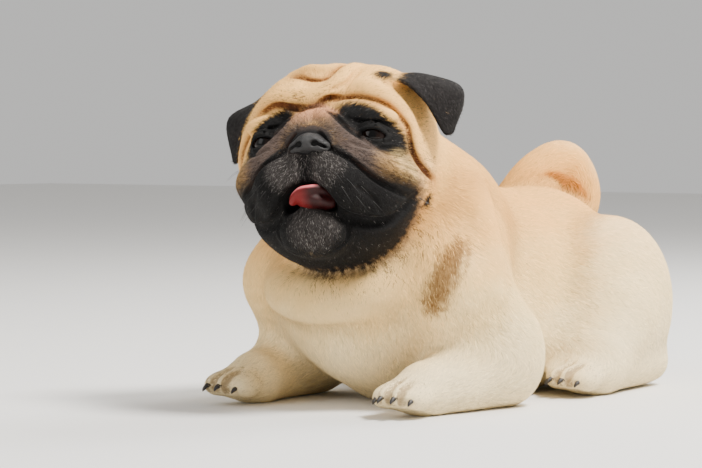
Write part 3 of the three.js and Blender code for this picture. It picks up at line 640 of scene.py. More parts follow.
def surface_net(field, axes, coarse=4, margin=1.0):
    """The field's skin as points and triangles."""
    axes, values = sampled(field, axes, coarse, margin)
    inside = values < 0
    nx, ny, nz = values.shape
    count = sum(
        inside[i:nx - 1 + i, j:ny - 1 + j, k:nz - 1 + k].astype(np.int8) for i, j, k in np.ndindex(2, 2, 2)
    )
    crossed = (count > 0) & (count < 8)
    cells = np.argwhere(crossed)
    index = np.full(crossed.shape, -1)
    index[crossed] = np.arange(len(cells))
    total = np.zeros((len(cells), 3))
    crossings = np.zeros(len(cells))
    place = [np.asarray(axis) for axis in axes]
    for axis in range(3):
        for other in np.ndindex(2, 2):
            start = np.insert(other, axis, 0)
            end = np.insert(other, axis, 1)
            a = values[tuple((cells + start).T)]
            b = values[tuple((cells + end).T)]
            cut = (a < 0) != (b < 0)
            t = np.where(cut, a / np.where(cut, a - b, 1), 0)
            from_point = np.column_stack([place[n][cells[:, n] + start[n]] for n in range(3)])
            to_point = np.column_stack([place[n][cells[:, n] + end[n]] for n in range(3)])
            total += np.where(cut[:, None], from_point + t[:, None] * (to_point - from_point), 0)
            crossings += cut
    points = total / crossings[:, None]
    squares = []
    for axis in range(3):
        second, third = (axis + 1) % 3, (axis + 2) % 3
        low = [slice(None)] * 3
        high = [slice(None)] * 3
        low[axis] = slice(0, -1)
        high[axis] = slice(1, None)
        first, last = inside[tuple(low)], inside[tuple(high)]
        at = np.argwhere(first != last)
        at = at[(at[:, second] > 0) & (at[:, third] > 0)]
        at = at[(at[:, second] < values.shape[second] - 1) & (at[:, third] < values.shape[third] - 1)]
        outward = first[tuple(at.T)]
        ring = []
        for b, c in ((1, 1), (0, 1), (0, 0), (1, 0)):
            corner = at.copy()
            corner[:, second] -= b
            corner[:, third] -= c
            ring.append(index[tuple(corner.T)])
        ring = np.column_stack(ring)
        squares.append(np.where(outward[:, None], ring, ring[:, ::-1]))
    squares = np.vstack(squares)
    triangles = np.vstack((squares[:, [0, 1, 2]], squares[:, [0, 2, 3]]))
    return points, triangles


PROBE = 0.35
LEAST_SLOPE = 0.05
TETRAHEDRON = np.float32(((1, 1, 1), (1, -1, -1), (-1, 1, -1), (-1, -1, 1)))


def slope_of(field, points):
    """The field's slope at points, from four samples round each."""
    return sum(corner * field(points + PROBE * corner)[:, None] for corner in TETRAHEDRON) / (4 * PROBE)


def settled(field, points, rounds=2, most=1.5):
    """Points moved onto the field's skin."""
    points = points.astype(np.float32)
    for _ in range(rounds):
        slope = slope_of(field, points)
        move = slope * (field(points) / np.maximum((slope**2).sum(1), LEAST_SLOPE))[:, None]
        far = length(move)
        points = points - move * np.minimum(1, most / np.maximum(far, TINY))[:, None]
    return points


def refined(points, triangles, chosen):
    """Triangles with every edge between two chosen points cut in half."""
    edges = np.sort(triangles[:, [0, 1, 1, 2, 2, 0]].reshape(-1, 2), 1)
    keys, where = np.unique(edges[:, 0] * len(points) + edges[:, 1], return_inverse=True)
    ends = np.column_stack((keys // len(points), keys % len(points)))
    split = chosen[ends].all(1)
    middle = np.full(len(keys), -1)
    middle[split] = len(points) + np.arange(split.sum())
    cut = middle[where].reshape(-1, 3)
    points = np.vstack((points, points[ends[split]].mean(1)))
    count = (cut >= 0).sum(1)
    out = [triangles[count == 0]]
    for turn in range(3):
        a, b, c = (np.roll(triangles, -turn, 1)[:, n] for n in range(3))
        ab, bc, ca = (np.roll(cut, -turn, 1)[:, n] for n in range(3))
        one = (count == 1) & (ab >= 0)
        out += [np.column_stack((a, ab, c))[one], np.column_stack((ab, b, c))[one]]
        two = (count == 2) & (ca < 0)
        out += [np.column_stack((ab, b, bc))[two], np.column_stack((a, ab, bc))[two]]
        out += [np.column_stack((a, bc, c))[two]]
    a, b, c = triangles[count == 3].T
    ab, bc, ca = cut[count == 3].T
    out += [np.column_stack(t) for t in ((a, ab, ca), (ab, b, bc), (ca, bc, c), (ab, bc, ca))]
    return points, np.vstack(out)


def srgb(*rgb):
    """A colour from 0 to 255 as linear light."""
    c = np.float32(rgb) / 255
    return np.where(c <= 0.04045, c / 12.92, ((c + 0.055) / 1.055) ** 2.4)


FAWN = srgb(250, 193, 110)
SADDLE = srgb(240, 174, 90)
CREAM = srgb(246, 208, 138)
PALE = srgb(250, 231, 186)
RUST = srgb(150, 72, 28)
TAN = srgb(104, 66, 26)
BLACK = srgb(7, 6, 6)
MASK_GREY_AND_SHEEN = srgb(54, 49, 47)
ROLL_BROWN = srgb(90, 76, 69)
ROLL_PINK = srgb(190, 132, 98)
EAR_BLACK = srgb(20, 17, 17)

CREASE_SHADE = 0.35
NOSE_DROP = np.float32((1.5, 0, -1))
long_line, crown_line, thumb_line = lone_lines

# The dark patch round each eye, seen from the front: its middle, half sizes and tilt on the
# left, and on the right, where it is a little smaller.
PATCHES = (((40.5, 8.5), (31, 15.6), -40), ((37, 8), (27, 13.6), -44))
PATCH_STREAK = 0.09
# The corner of the nose roll's upper line beside the muzzle, and the way across that line.
ROLL_CORNER = (18, 17)
ROLL_ACROSS = (0.64, 0.768)
# The grey of the face, as forms in the head's frame with their greatest shares: on the chin grey hair, on
# the muzzle's top grey hair and also painted sheen.
CHIN_GREY = ((4, -78, -64), (21, 22, 18))
MUZZLE_GREY_AND_SHEEN = ((0, -84, -20), (31, 24, 22))
GREY_SHARES = ((MUZZLE_GREY_AND_SHEEN, 0.55), (CHIN_GREY, 0.6))
BRIDGE_SIZE = (21, 13)
CHEEK_MIDDLE = np.float32((64, -48, -23))
CHEEK_PALE = (((62, -46, -16), 11), ((69, -36, -20), 8))
# Dark spots on the head, as (middle, drawn on the left, radius, side), with side -1 the right.
MOLES = (((68, -1, -38), 6, 1), ((42, -25, 55), 7.5, 1), ((75, -5, -7), 1.8, 1), ((68, -8, -36), 4, -1))
NECK_SHADE = (
    (62, -73, 195, 9), (66, -72, 184, 10), (74, -83, 169, 11), (80, -87, 154, 12), (87, -91, 139, 9),
)
STREAK = ((84, -124, 80, 7), (92, -120, 100, 9), (94, -110, 118, 9), (95, -100, 126, 6))
neck_shade = limb(NECK_SHADE)
shoulder_streak = limb(STREAK)


def wobble(p, size):
    """A smooth, uneven value from about -1 to 1 that changes over the given size."""
    k = 2 * math.pi / size
    a = np.sin(k * (p[:, 0] + 0.6 * p[:, 1]) + 1.3) + np.sin(k * (p[:, 1] * 0.9 - p[:, 2] * 0.7) + 4.1)
    b = np.sin(k * (p[:, 2] * 1.2 + 0.5 * p[:, 0]) + 2.2) + np.sin(1.7 * k * (p[:, 0] - p[:, 2]) + 0.4)
    return (a + b) / 3.2


def strands(q, size):
    """A value from about -1 to 1 that changes across the hair of the face, not along it."""
    turn = np.arctan2(q[:, 2] + 6, q[:, 0]) * 60 / size
    a = np.sin(turn * 5.1 + 0.05 * q[:, 1]) + np.sin(turn * 8.3 + 1.7 + 0.08 * q[:, 0])
    return (a + np.sin(turn * 13.7 + 0.6)) / 2.4


def eye_patch(q, streak):
    """How much of the dark patch round the eyes covers each point."""
    patch = np.zeros(len(q))
    for side, (middle, size, tilt) in enumerate(PATCHES):
        across = (1 - 2 * side) * q[:, 0] - middle[0]
        up = q[:, 2] - middle[1]
        tilt = math.radians(tilt)
        along = (across * math.cos(tilt) + up * math.sin(tilt)) / size[0]
        over = (up * math.cos(tilt) - across * math.sin(tilt)) / size[1]
        far = np.hypot(along, over) + PATCH_STREAK * streak * soft(over, -0.5, 0.6)
        patch = np.maximum(patch, faded(far, 0.84, 1.16))
    return patch


def valley_shade(p):
    """How near each point is to a line where two of the body's large forms meet, which sets the painted
    shade in those valleys.
    """
    fields = np.sort(np.stack([form(p) for form in (trunk, foreleg, hindleg, neck, tail)]), 0)
    return faded(fields[1] - fields[0], 2, 20)


# Each layer of the markings is (colour, share). A share is its greatest amount times the ramps
# over which it comes in or fades, in millimetres, with edges made uneven by wobble or strands.


def body_layers(p, q, on_head, rough):
    """The saddle, the pale haunches and belly, painted shade in the valleys, on the neck behind the head, in
    the tail's hollow and between the toes, the streak and the head's fawn.
    """
    height = p[:, 2]
    haunch = hindleg(p) - trunk(p)
    streaked = faded(shoulder_streak(p) + 4 * rough, -4, 7) * (0.85 + 0.15 * wobble(p, 5))
    crown = on_head * soft(q[:, 2] + 6 * wobble(p, 40), -50, 10)
    return (
        (SADDLE, 0.9 * soft(height + 12 * wobble(p, 70), 70, 168)),
        (PALE, 0.5 * faded(haunch + 8 * wobble(p, 60), -32, 8)),
        # painted shade in the valleys where the body's large forms meet
        (TAN, 0.24 * valley_shade(p)),
        (PALE, 0.75 * faded(height + 10 * wobble(p, 50), 20, 100) * (1 - on_head)),
        (TAN, 0.28 * faded(neck_shade(p) + 5 * wobble(p, 30), -11, 9)),
        (TAN, streaked),
        # painted shade in the curled tail's hollow
        (TAN, 0.8 * faded(tail_hollow(p), -3.5, 1.5)),
        # painted shade in the slits between the toes
        (TAN, 0.6 * soft(-plain_paws(p), 1.2, 2.8)),
        (FAWN, 0.95 * crown),
    )


def face_shares(q, on_head, mask, streak):
    """How much the mask, the dark patches and the nose roll each cover every point."""
    x, y, z = np.abs(q[:, 0]), q[:, 1], q[:, 2]
    masked = on_head * faded(mask, -5, 4)
    over = ROLL_ACROSS[0] * (x - ROLL_CORNER[0]) + ROLL_ACROSS[1] * (z - ROLL_CORNER[1])
    beside = soft(over, 0, 1.6) * faded(over, 6, 11) * soft(x + streak, 13, 20) * faded(x, 46, 58)
    patch = np.maximum(eye_patch(q, streak), beside) * on_head * faded(y, -26, -12)
    rolled = on_head * faded(y, -34, -14) * faded(nose_roll(q) + 0.7 * streak, 0.8, 3.5)
    rolled *= soft(z + 2 * streak, -36, -14)
    rolled *= 1 - beside
    return masked, patch, rolled


def face_layers(q, on_head, rough, streak):
    """The mask, the patches, the nose roll, the cheeks, the grey hair with painted sheen on the muzzle, and
    the painted shade of the creases of the face.
    """
    x, y, z = np.abs(q[:, 0]), q[:, 1], q[:, 2]
    drawn = np.column_stack((x, y, z))
    face = on_head * faded(y, -34, -14)
    mask = mask_form(q) + 3 * rough + 2.5 * streak
    masked, patch, rolled = face_shares(q, on_head, mask, streak)
    pinkness = soft(z + 2 * streak, 12, 24) * faded(x, 8, 26)
    brown = mixed(np.tile(ROLL_BROWN, (len(q), 1)), ROLL_PINK, pinkness)
    roll_colour = mixed(brown, FAWN, 0.7 * soft(x + 3 * streak, 44, 68))
    pale = [faded(length(drawn - at) + 2.5 * streak, 0.5 * r, 1.2 * r) for at, r in CHEEK_PALE]
    cheek = on_head * faded(length(drawn - CHEEK_MIDDLE), 10, 26)
    greyed = face * (1 - rolled)
    bridge = face * faded(np.hypot(x / BRIDGE_SIZE[0], (z - 1) / BRIDGE_SIZE[1]), 0.75, 1.2)
    crease = np.minimum(long_line(q), crown_line(q))
    return (
        (ROLL_BROWN, on_head * faded(mask, 1, 11) * 0.7), (BLACK, masked), (BLACK, patch),
        (roll_colour, 0.9 * rolled),
        *[(CREAM, 0.4 * on_head * share) for share in pale],
        (BLACK, 0.6 * cheek * soft(streak + 0.5 * rough, -0.2, 0.5)),
        # grey hair, and on the muzzle's top painted sheen
        *[(MASK_GREY_AND_SHEEN, most * greyed * faded(ellipsoid(*form)(q), -6, 4)) for form, most in GREY_SHARES],
        (ROLL_BROWN * CREASE_SHADE, bridge),
        # rust hair along the long groove and the crown's crease, with painted shade
        (RUST, on_head * (1 - patch) * 0.3 * faded(crease, 0, 4.5)),
        # painted shade in the depth of the face's creases
        (crease_shade_colour(masked, patch, rolled), 0.95 * crease_shade_share(q, on_head)),
        (BLACK, face * faded(nose_form(q - NOSE_DROP), 0.5, 4)),
    )


def crease_shade_colour(masked, patch, rolled):
    """The painted shade in the depth of the face's creases: dark, and darker still on the mask."""
    colour = mixed(np.tile(RUST * CREASE_SHADE, (len(rolled), 1)), ROLL_BROWN * CREASE_SHADE, rolled)
    return mixed(colour, BLACK, np.maximum(masked * (1 - rolled), patch))


def crease_shade_share(q, on_head):
    """How much painted shade each point gets from lying deep in a crease of the face, from 0 to 1."""
    deep = on_head * soft(-near_hooded(q), 1.3, 2.8) * faded(q[:, 1], -5, 8)
    deep = deep * soft(near_ears(q), 2, 5) * soft(thumb_line(q), 0, 3)
    groove = on_head * faded(long_line(q), 0.2, 1.6) * faded(np.abs(q[:, 0] + 9), 20, 34)
    return np.maximum(deep, groove)


def ear_share(q, rough):
    """How much of the ears' black covers each point; on the right it reaches the head."""
    left = q[:, 0] > 0
    uneven = near_plain(q) + np.where(left, 2, 0.5) * rough
    rooted = soft(uneven, np.where(left, 1, 0.7), np.where(left, 8, 2.6))
    return faded(near_ears(q), 3, 6) * rooted


def markings(p):
    """The coat's colour at points of the drawing frame, with painted shade in its creases and hollows and
    painted sheen on the muzzle.
    """
    q = to_head(p)
    on_head = faded(near_hooded(q), 1, 14)
    rough = wobble(p, 9)
    colour = layered(np.tile(CREAM, (len(p), 1)), body_layers(p, q, on_head, rough))
    colour = layered(colour, face_layers(q, on_head, rough, strands(q, 4)))
    for at, r, side in MOLES:
        away = length(q - np.float32(at) * (side, 1, 1))
        colour = mixed(colour, BLACK, on_head * faded(away, 0.6 * r, 1.3 * r))
    return mixed(colour, EAR_BLACK, ear_share(q, rough))


def new_material(name, **inputs):
    """A material with the given values of its shader's inputs."""
    material = bpy.data.materials.new(name)
    material.use_nodes = True
    shader = material.node_tree.nodes["Principled BSDF"]
    for key, value in inputs.items():
        shader.inputs[key.replace("_", " ")].default_value = value
    return material, material.node_tree, shader


def add_node(tree, kind, **values):
    node = tree.nodes.new(kind)
    for name, value in values.items():
        if name in node.inputs:
            node.inputs[name].default_value = value
        else:
            setattr(node, name, value)
    return node


def painted(tree, shader, low, high, grain):
    """Colours the shader from the mesh's own colours, varied by a fine noise."""
    colour = add_node(tree, "ShaderNodeVertexColor", layer_name="marks")
    noise = add_node(tree, "ShaderNodeTexNoise", Scale=grain, Detail=3.0)
    span = add_node(tree, "ShaderNodeMapRange", **{"To Min": low, "To Max": high})
    product = add_node(tree, "ShaderNodeVectorMath", operation="SCALE")
    tree.links.new(noise.outputs["Fac"], span.inputs["Value"])
    tree.links.new(colour.outputs["Color"], product.inputs[0])
    tree.links.new(span.outputs["Result"], product.inputs["Scale"])
    tree.links.new(product.outputs["Vector"], shader.inputs["Base Color"])


def bumped(tree, shader, height, strength, distance):
    bump = add_node(tree, "ShaderNodeBump", Strength=strength, Distance=distance)
    tree.links.new(height, bump.inputs["Height"])
    tree.links.new(bump.outputs["Normal"], shader.inputs["Normal"])


def coat_material():
    material, tree, shader = new_material(
        "short_coat", Roughness=0.78, Sheen_Weight=0.03, Sheen_Roughness=0.4, Specular_IOR_Level=0.14,
    )
    painted(tree, shader, 0.86, 1.12, 420.0)
    return material


def skin_material():
    material, tree, shader = new_material("skin_under_coat", Roughness=0.8, Specular_IOR_Level=0.25)
    painted(tree, shader, 0.85, 1.05, 900.0)
    hair = add_node(tree, "ShaderNodeTexNoise", Scale=1500.0, Detail=2.0)
    bumped(tree, shader, hair.outputs["Fac"], 0.5, 0.0006)
    return material


def nose_material():
    material, tree, shader = new_material(
        "nose_leather", Roughness=0.48, Base_Color=(0.008, 0.0076, 0.008, 1),
        Coat_Weight=0.12, Coat_Roughness=0.25,
    )
    pebbles = add_node(tree, "ShaderNodeTexVoronoi", Scale=1100.0, feature="SMOOTH_F1")
    bumped(tree, shader, pebbles.outputs["Distance"], 0.55, 0.0005)
    return material


def tongue_material():
    material, tree, shader = new_material(
        "tongue_skin", Roughness=0.5, Specular_IOR_Level=0.25,
        Subsurface_Weight=0.12, Subsurface_Radius=(0.002, 0.0006, 0.0005),
    )
    painted(tree, shader, 0.85, 1.1, 500.0)
    buds = add_node(tree, "ShaderNodeTexVoronoi", Scale=1300.0)
    bumped(tree, shader, buds.outputs["Distance"], 0.3, 0.0003)
    return material


def eye_material():
    material, tree, shader = new_material("eye", Roughness=0.06, Specular_IOR_Level=0.2)
    painted(tree, shader, 0.9, 1.1, 800.0)
    return material


def plain_material(name, roughness, colour, grain, strength, distance):
    """Claws and whiskers: one colour, with a fine grain."""
    material, tree, shader = new_material(name, Roughness=roughness, Base_Color=colour)
    noise = add_node(tree, "ShaderNodeTexNoise", Scale=grain)
    bumped(tree, shader, noise.outputs["Fac"], strength, distance)
    return material


def claw_material():
    return plain_material("claw_horn", 0.4, (0.02, 0.017, 0.016, 1), 900.0, 0.3, 0.0003)


def whisker_material():
    return plain_material("whisker", 0.5, (0.02, 0.018, 0.017, 1), 2000.0, 0.1, 0.0001)


# The part's box is centred on the drawing, so each place moves by the same shift.
def box_middle(node):
    low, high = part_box(node)
    return (np.array(low) + np.array(high)) / (2 * MM)


SHIFT = (box_middle("eye_left") - from_head(EYE_AT[None])[0]).astype(np.float32)
FLESH = (
    "head", "muzzle", "ear_left", "ear_right", "neck", "torso", "foreleg_left", "foreleg_right",
    "hindleg_left", "hindleg_right", "tail_root", "tail_tip",
)


def new_piece(name, points, faces, material, slot, colours=None, normals=None, uv=None):
    """A mesh object from points of the drawing frame, riding on the part's only body."""
    mesh = bpy.data.meshes.new(name)
    points = (np.asarray(points) + SHIFT) * MM
    faces = np.asarray(faces)
    sides = faces.shape[1]
    mesh.vertices.add(len(points))
    mesh.loops.add(faces.size)
    mesh.polygons.add(len(faces))
    mesh.vertices.foreach_set("co", points.astype(np.float32).ravel())
    mesh.loops.foreach_set("vertex_index", faces.astype(np.int32).ravel())
    mesh.polygons.foreach_set("loop_start", np.arange(0, faces.size, sides, dtype=np.int32))
    mesh.update(calc_edges=True)
    mesh.polygons.foreach_set("use_smooth", np.ones(len(faces), bool))
    if colours is not None:
        marks = mesh.color_attributes.new("marks", "FLOAT_COLOR", "POINT")
        rgba = np.column_stack((colours, np.ones(len(points)))).astype(np.float32)
        marks.data.foreach_set("color", rgba.ravel())
    if uv is not None:
        layer = mesh.uv_layers.new(name="OFBake")
        layer.uv.foreach_set("vector", uv[faces.ravel()].astype(np.float32).ravel())
    if normals is not None:
        free = mesh.attributes.new("custom_normal", "FLOAT_VECTOR", "POINT")
        free.data.foreach_set("vector", normals.astype(np.float32).ravel())
    mesh.materials.append(material)
    piece = bpy.data.objects.new(name, mesh)
    bpy.context.scene.collection.objects.link(piece)
    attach(piece, "root")
    return piece


# The skin's samples: fine over the head, coarser over the body behind and below it.
STEP_FINE = 1.7
STEP_BODY = 2.6
FACE_BACK = -6
FACE_REACH = 12
PAW_NEAR = 1
SKIN_AXES = (
    steps_of((-142, 143, STEP_FINE)),
    steps_of((-248, -60, STEP_FINE), (-60, 250, STEP_BODY)),
    steps_of((-8, 105, STEP_BODY), (105, 284, STEP_FINE)),
)


def skin_net():
    """The skin's points and triangles, finer in the face and on the paws."""
    points, triangles = surface_net(skin_field, SKIN_AXES)
    points = settled(skin_field, points)
    q = to_head(points)
    face = (q[:, 1] < FACE_BACK) & (near_lidded(q) < FACE_REACH)
    points, triangles = refined(points, triangles, face | (all_paws(points) < PAW_NEAR))
    return settled(skin_field, points).astype(np.float32), triangles


skin_points, skin_triangles = skin_net()
skin_slope = unit(slope_of(skin_field, skin_points))
skin = new_piece(
    "skin", skin_points, skin_triangles, skin_material(), "fawn_coat", markings(skin_points),
)
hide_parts(*FLESH)

# Eyes: a dark ball with a domed clear front over a brown ring and a black pupil. The ring's and
# the pupil's sizes are angles in radians.
GAZE = unit(np.float32(((0.2, -1, 0.03),)))[0]
BALL_RINGS = 48
BALL_SIDES = 64
PUPIL = 0.30
PUPIL_EDGE = 0.04
IRIS = 0.56
IRIS_EDGE = 0.05
IRIS_RAYS = 40
CORNEA_RISE = 0.7
IRIS_BROWN = srgb(26, 14, 9)
EYE_WHITE = srgb(34, 25, 22)
PUPIL_BLACK = BLACK * 0.3


def ball(rings, sides):
    """A unit ball's points and triangles."""
    up = np.linspace(0, math.pi, rings + 1)
    round_ = np.arange(sides) * 2 * math.pi / sides
    grid = np.stack(np.meshgrid(up, round_, indexing="ij"), -1).reshape(-1, 2)
    points = np.column_stack((
        np.sin(grid[:, 0]) * np.cos(grid[:, 1]), np.sin(grid[:, 0]) * np.sin(grid[:, 1]), np.cos(grid[:, 0]),
    ))
    triangles = []
    for ring in range(rings):
        for side in range(sides):
            a = ring * sides + side
            b = ring * sides + (side + 1) % sides
            triangles += [(a, a + sides, b + sides), (a, b + sides, b)]
    return points, np.array(triangles)


def eye_piece(side, sign):
    points, triangles = ball(BALL_RINGS, BALL_SIDES)
    turn = np.arccos(np.clip(points @ (GAZE * (sign, 1, 1)), -1, 1))
    dome = np.clip(1 - (turn / IRIS) ** 2, 0, 1)
    rays = 0.75 + 0.25 * np.sin(IRIS_RAYS * np.arctan2(points[:, 2], points[:, 0]))
    colours = np.tile(EYE_WHITE, (len(points), 1))
    colours = mixed(colours, IRIS_BROWN, faded(turn, IRIS - IRIS_EDGE, IRIS + IRIS_EDGE))
    colours = colours * np.where(turn < IRIS, rays, 1)[:, None]
    colours = mixed(colours, PUPIL_BLACK, faded(turn, PUPIL - PUPIL_EDGE, PUPIL + PUPIL_EDGE))
    placed = points * (EYE_RADIUS + CORNEA_RISE * dome)[:, None] + EYE_AT * (sign, 1, 1)
    piece = new_piece(f"eyeball_{side}", from_head(placed), triangles, eye_look, "eye", colours)
    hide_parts(f"eye_{side}")


SIDES = (("left", 1), ("right", -1))
eye_look = eye_material()
for side, sign in SIDES:
    eye_piece(side, sign)

# The nose: a pad with two wings, a middle groove and comma-shaped nostrils. The boxes here and
# below hold a small form, in the head's frame.
NOSE_PAD = ((0, -73, -2), (11.5, 10.5, 8.4))
NOSE_WING = ((9, -74, -5), (7, 7, 5.6))
NOSE_GROOVE = ((0, -88, 5, 0.9), (0, -86, -5, 1.3), (0, -80, -14, 1.5))
NOSE_BOX = ((-20, -92, -16), (20, -58, 14))
NOSE_STEP = 0.7
WING_CREASE = 3


def small_net(field, box, step):
    """A small field's skin, settled onto it, in the head's frame."""
    axes = [np.arange(low, high, step) for low, high in zip(*box)]
    points, triangles = surface_net(field, axes, coarse=2, margin=3)
    return settled(field, points, most=0.5), triangles


nose_leather = carve(
    NOSTRIL_EDGE, join(WING_CREASE, ellipsoid(*NOSE_PAD), mirrored_form(NOSE_WING)),
    mirrored_form(NOSTRIL), mirrored_form(NOSTRIL_SLIT), limb(NOSE_GROOVE),
)
nose_points, nose_triangles = small_net(nose_leather, NOSE_BOX, NOSE_STEP)
nose_places = from_head(nose_points + NOSE_DROP)
nose = new_piece("nose_pad", nose_places, nose_triangles, nose_material(), "nose_leather")
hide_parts("nose")

# The tongue: its tip curls up into a rim that rises toward its left, over a hollow. The rim's upper side is
# painted pale, as light, and the rest is painted darker, as shade.
TONGUE_BODY = ((3.5, -66, -44.5), (15.5, 20, 7.5), (0, 10, 0))
TONGUE_RIM = (
    (-10, -79, -46, 2.6), (-7, -83, -43, 3), (-1, -86, -39.5, 3.2), (5, -86, -38.4, 3),
    (9, -83, -37.6, 2.8), (13, -77, -38, 2.6), (17, -70, -43, 2.6),
)
TONGUE_HOLLOW = ((4, -97, -50), (16, 12, 8), (0, -10, 0))
TONGUE_LIT_PINK = srgb(226, 112, 118)
TONGUE_SHADED_RED = srgb(134, 16, 18)
TONGUE_BOX = ((-22, -98, -58), (26, -40, -28))
TONGUE_STEP = 0.8
TONGUE_HOLLOW_EDGE = 2
TONGUE_CREASE = 4


def tongue_colours(form, rim, points):
    """Painted light and shade: a pink rim where the upper side faces up, over a shaded red that darkens
    toward the tongue's left.
    """
    across = points[:, 0]
    # painted light: the rim is pink where it faces up
    lit_rim = faded(rim(points), -0.5, 1.5) * faded(across, 7, 12)
    lit_rim *= soft(unit(slope_of(form, points))[:, 2], 0.1, 0.5)
    # painted shade: below the rim the tongue is a darkened red, darkest toward its left
    under = np.tile(TONGUE_SHADED_RED * 0.6, (len(points), 1))
    return layered(under, ((TONGUE_SHADED_RED * 0.08, soft(across, -3, 8)), (TONGUE_LIT_PINK, lit_rim)))


def tongue_piece():
    rim = roll(TONGUE_RIM)
    hollowed = carve(TONGUE_HOLLOW_EDGE, ellipsoid(*TONGUE_BODY), ellipsoid(*TONGUE_HOLLOW))
    form = join(TONGUE_CREASE, hollowed, rim)
    points, triangles = small_net(form, TONGUE_BOX, TONGUE_STEP)
    colours = tongue_colours(form, rim, points.astype(np.float32))
    places = from_head(points)
    tongue = new_piece("tongue_flesh", places, triangles, tongue_material(), "tongue_skin", colours)
    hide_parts("tongue")


tongue_piece()

# Claws: bent cones at each toe's end, in each paw's own frame. They start inside the toe.
CLAW_LENGTH = 8
CLAW_RADIUS = 2.3
CLAW_BEND = 1.1
CLAW_SUNK = 3.5
CLAW_BELOW = 0.5
CLAW_TAPER = 0.995
CLAW_SIDES = 10
CLAW_RINGS = 7


def tube(path, radii, sides):
    """A tube along a path, closed by points at both ends."""
    path = np.asarray(path, float)
    along = unit(np.gradient(path, axis=0))
    side = unit(np.cross(along, (0.3, 0.1, 1)))
    up = np.cross(side, along)
    turn = np.arange(sides) * 2 * math.pi / sides
    ring = np.cos(turn)[None, :, None] * side[:, None] + np.sin(turn)[None, :, None] * up[:, None]
    points = (path[:, None] + ring * np.asarray(radii)[:, None, None]).reshape(-1, 3)
    start = np.arange(len(path) - 1)[:, None] * sides
    a = (start + np.arange(sides)).ravel()
    b = (start + (np.arange(sides) + 1) % sides).ravel()
    faces = np.vstack((np.column_stack((a, b, b + sides)), np.column_stack((a, b + sides, a + sides))))
    return points, faces


def gathered(parts):
    """Several meshes as one."""
    points, faces, start = [], [], 0
    for some_points, some_faces in parts:
        points.append(some_points)
        faces.append(some_faces + start)
        start += len(some_points)
    return np.vstack(points), np.vstack(faces)


def claws(at, yaw, sign):
    """The claws of a paw, drawn on the left and turned to the side of the sign."""
    axes = turning((0, 0, yaw))
    t = np.linspace(0, 1, CLAW_RINGS)
    out = CLAW_LENGTH * np.sin(t * CLAW_BEND) / CLAW_BEND
    down = CLAW_LENGTH * (1 - np.cos(t * CLAW_BEND)) / CLAW_BEND
    parts = []
    for x, forward, z in TOES:
        start = -forward - TOE[1] + CLAW_SUNK
        path = np.column_stack((np.full_like(t, x), start - out, z - CLAW_BELOW - down))
        points, faces = tube(path, CLAW_RADIUS * np.sqrt(1 - t * CLAW_TAPER), CLAW_SIDES)
        points = points @ axes.T + at
        points[:, 2] = np.maximum(points[:, 2], FLOOR_GAP)
        parts.append((points * (sign, 1, 1), faces if sign > 0 else faces[:, ::-1]))
    return gathered(parts)


claw_look = claw_material()
for side, sign in SIDES:
    for place, (at, yaw) in (("fore", FORE_PAW), ("hind", HIND_PAW)):
        new_piece(f"claws_{place}_{side}", *claws(np.float32(at), yaw, sign), claw_look, "nose_leather")

# The coat: thin four-faced tufts that lie along the body. Their length, width, lift from the
# skin in degrees and how often they cover it, on the face, ears, head, body and paws.
FACE_TUFT = (2.7, 0.4, 5, 1.0)
EAR_TUFT = (2.6, 0.45, 4, 1.3)
HEAD_TUFT = (3.9, 0.5, 3, 1.4)
BODY_TUFT = (6.6, 0.68, 2.2, 1.4)
PAW_TUFT = (3.8, 0.56, 3, 1.3)
LOOSE_SHARE = 0.14
LOOSE_LIFT = 3.6
LOOSE_WIDTH = 0.35
LIE_SPREAD = math.radians(17)
LENGTH_SPREAD = 0.28
LIFT_SPREAD = 0.45
LENGTH_LIMITS = (0.45, 1.7)
WIDTH_LIMITS = (0.75, 1.25)
LIFT_LIMITS = (0.1, 2.5)
ROOT_SUNK = 0.07
RIDGE_HEIGHT = 0.16
RIDGE_PLACE = 0.3
NORMAL_TILT = 0.24
NORMAL_LEAN = 0.35
TIP_LEAN = 0.1
TIP_GAP = 0.1
ROOT_SHADE = 0.92
TIP_SHADE = 1.06
CREASE_SHARE = 0.45
CREASE_REACH = 3.5
COLOUR_SPREAD = 0.13
FLECK_SHARE = 0.8
EDGE_SPREAD = 1.1
BODY_SPREAD = 2.6
FLECK_SHADE = 0.22
ROLL_SPREAD = 0.3
GREY_SHARE = 0.03
MUZZLE_GREY_AND_SHEEN_SHARE = 0.45
GREY_HAIR = srgb(178, 171, 166)
GREY_MOST = 0.5
EAR_GREY = 0.1
EAR_GREY_SHARE = 0.5
DARK = 0.25
BRIGHT_LIMITS = (0.4, 2)
# How wide each tuft's own patch of the map is.
TUFT_PATCH = 0.003
NOSE_MIDDLE = np.float32((0, -66, 0))
# Streaks of dark hairs on the face: width, length, and how far out the width is measured.
MOTTLE_WIDTH = 1.3
MOTTLE_LENGTH = 6
MOTTLE_OUT = 45
# Numbers that scatter a cell's two counts into a value that looks random.
SCATTER = (12.9898, 78.233, 43758.5453)

TAIL_STEPS = 6
tail_path = curve(np.array(TAIL)[:, :3], TAIL_STEPS)
tail_way = unit(np.gradient(tail_path, axis=0))
ear_way = np.float32(EAR_TIP).mean(0) - np.float32(EAR_ROOT).mean(0)


def nearest_of(path, p):
    """The index of the path's nearest point to each of p."""
    best = np.zeros(len(p), int)
    least = np.full(len(p), np.inf)
    for i, at in enumerate(path):
        away = ((p - at) ** 2).sum(1)
        best[away < least] = i
        least = np.minimum(least, away)
    return best


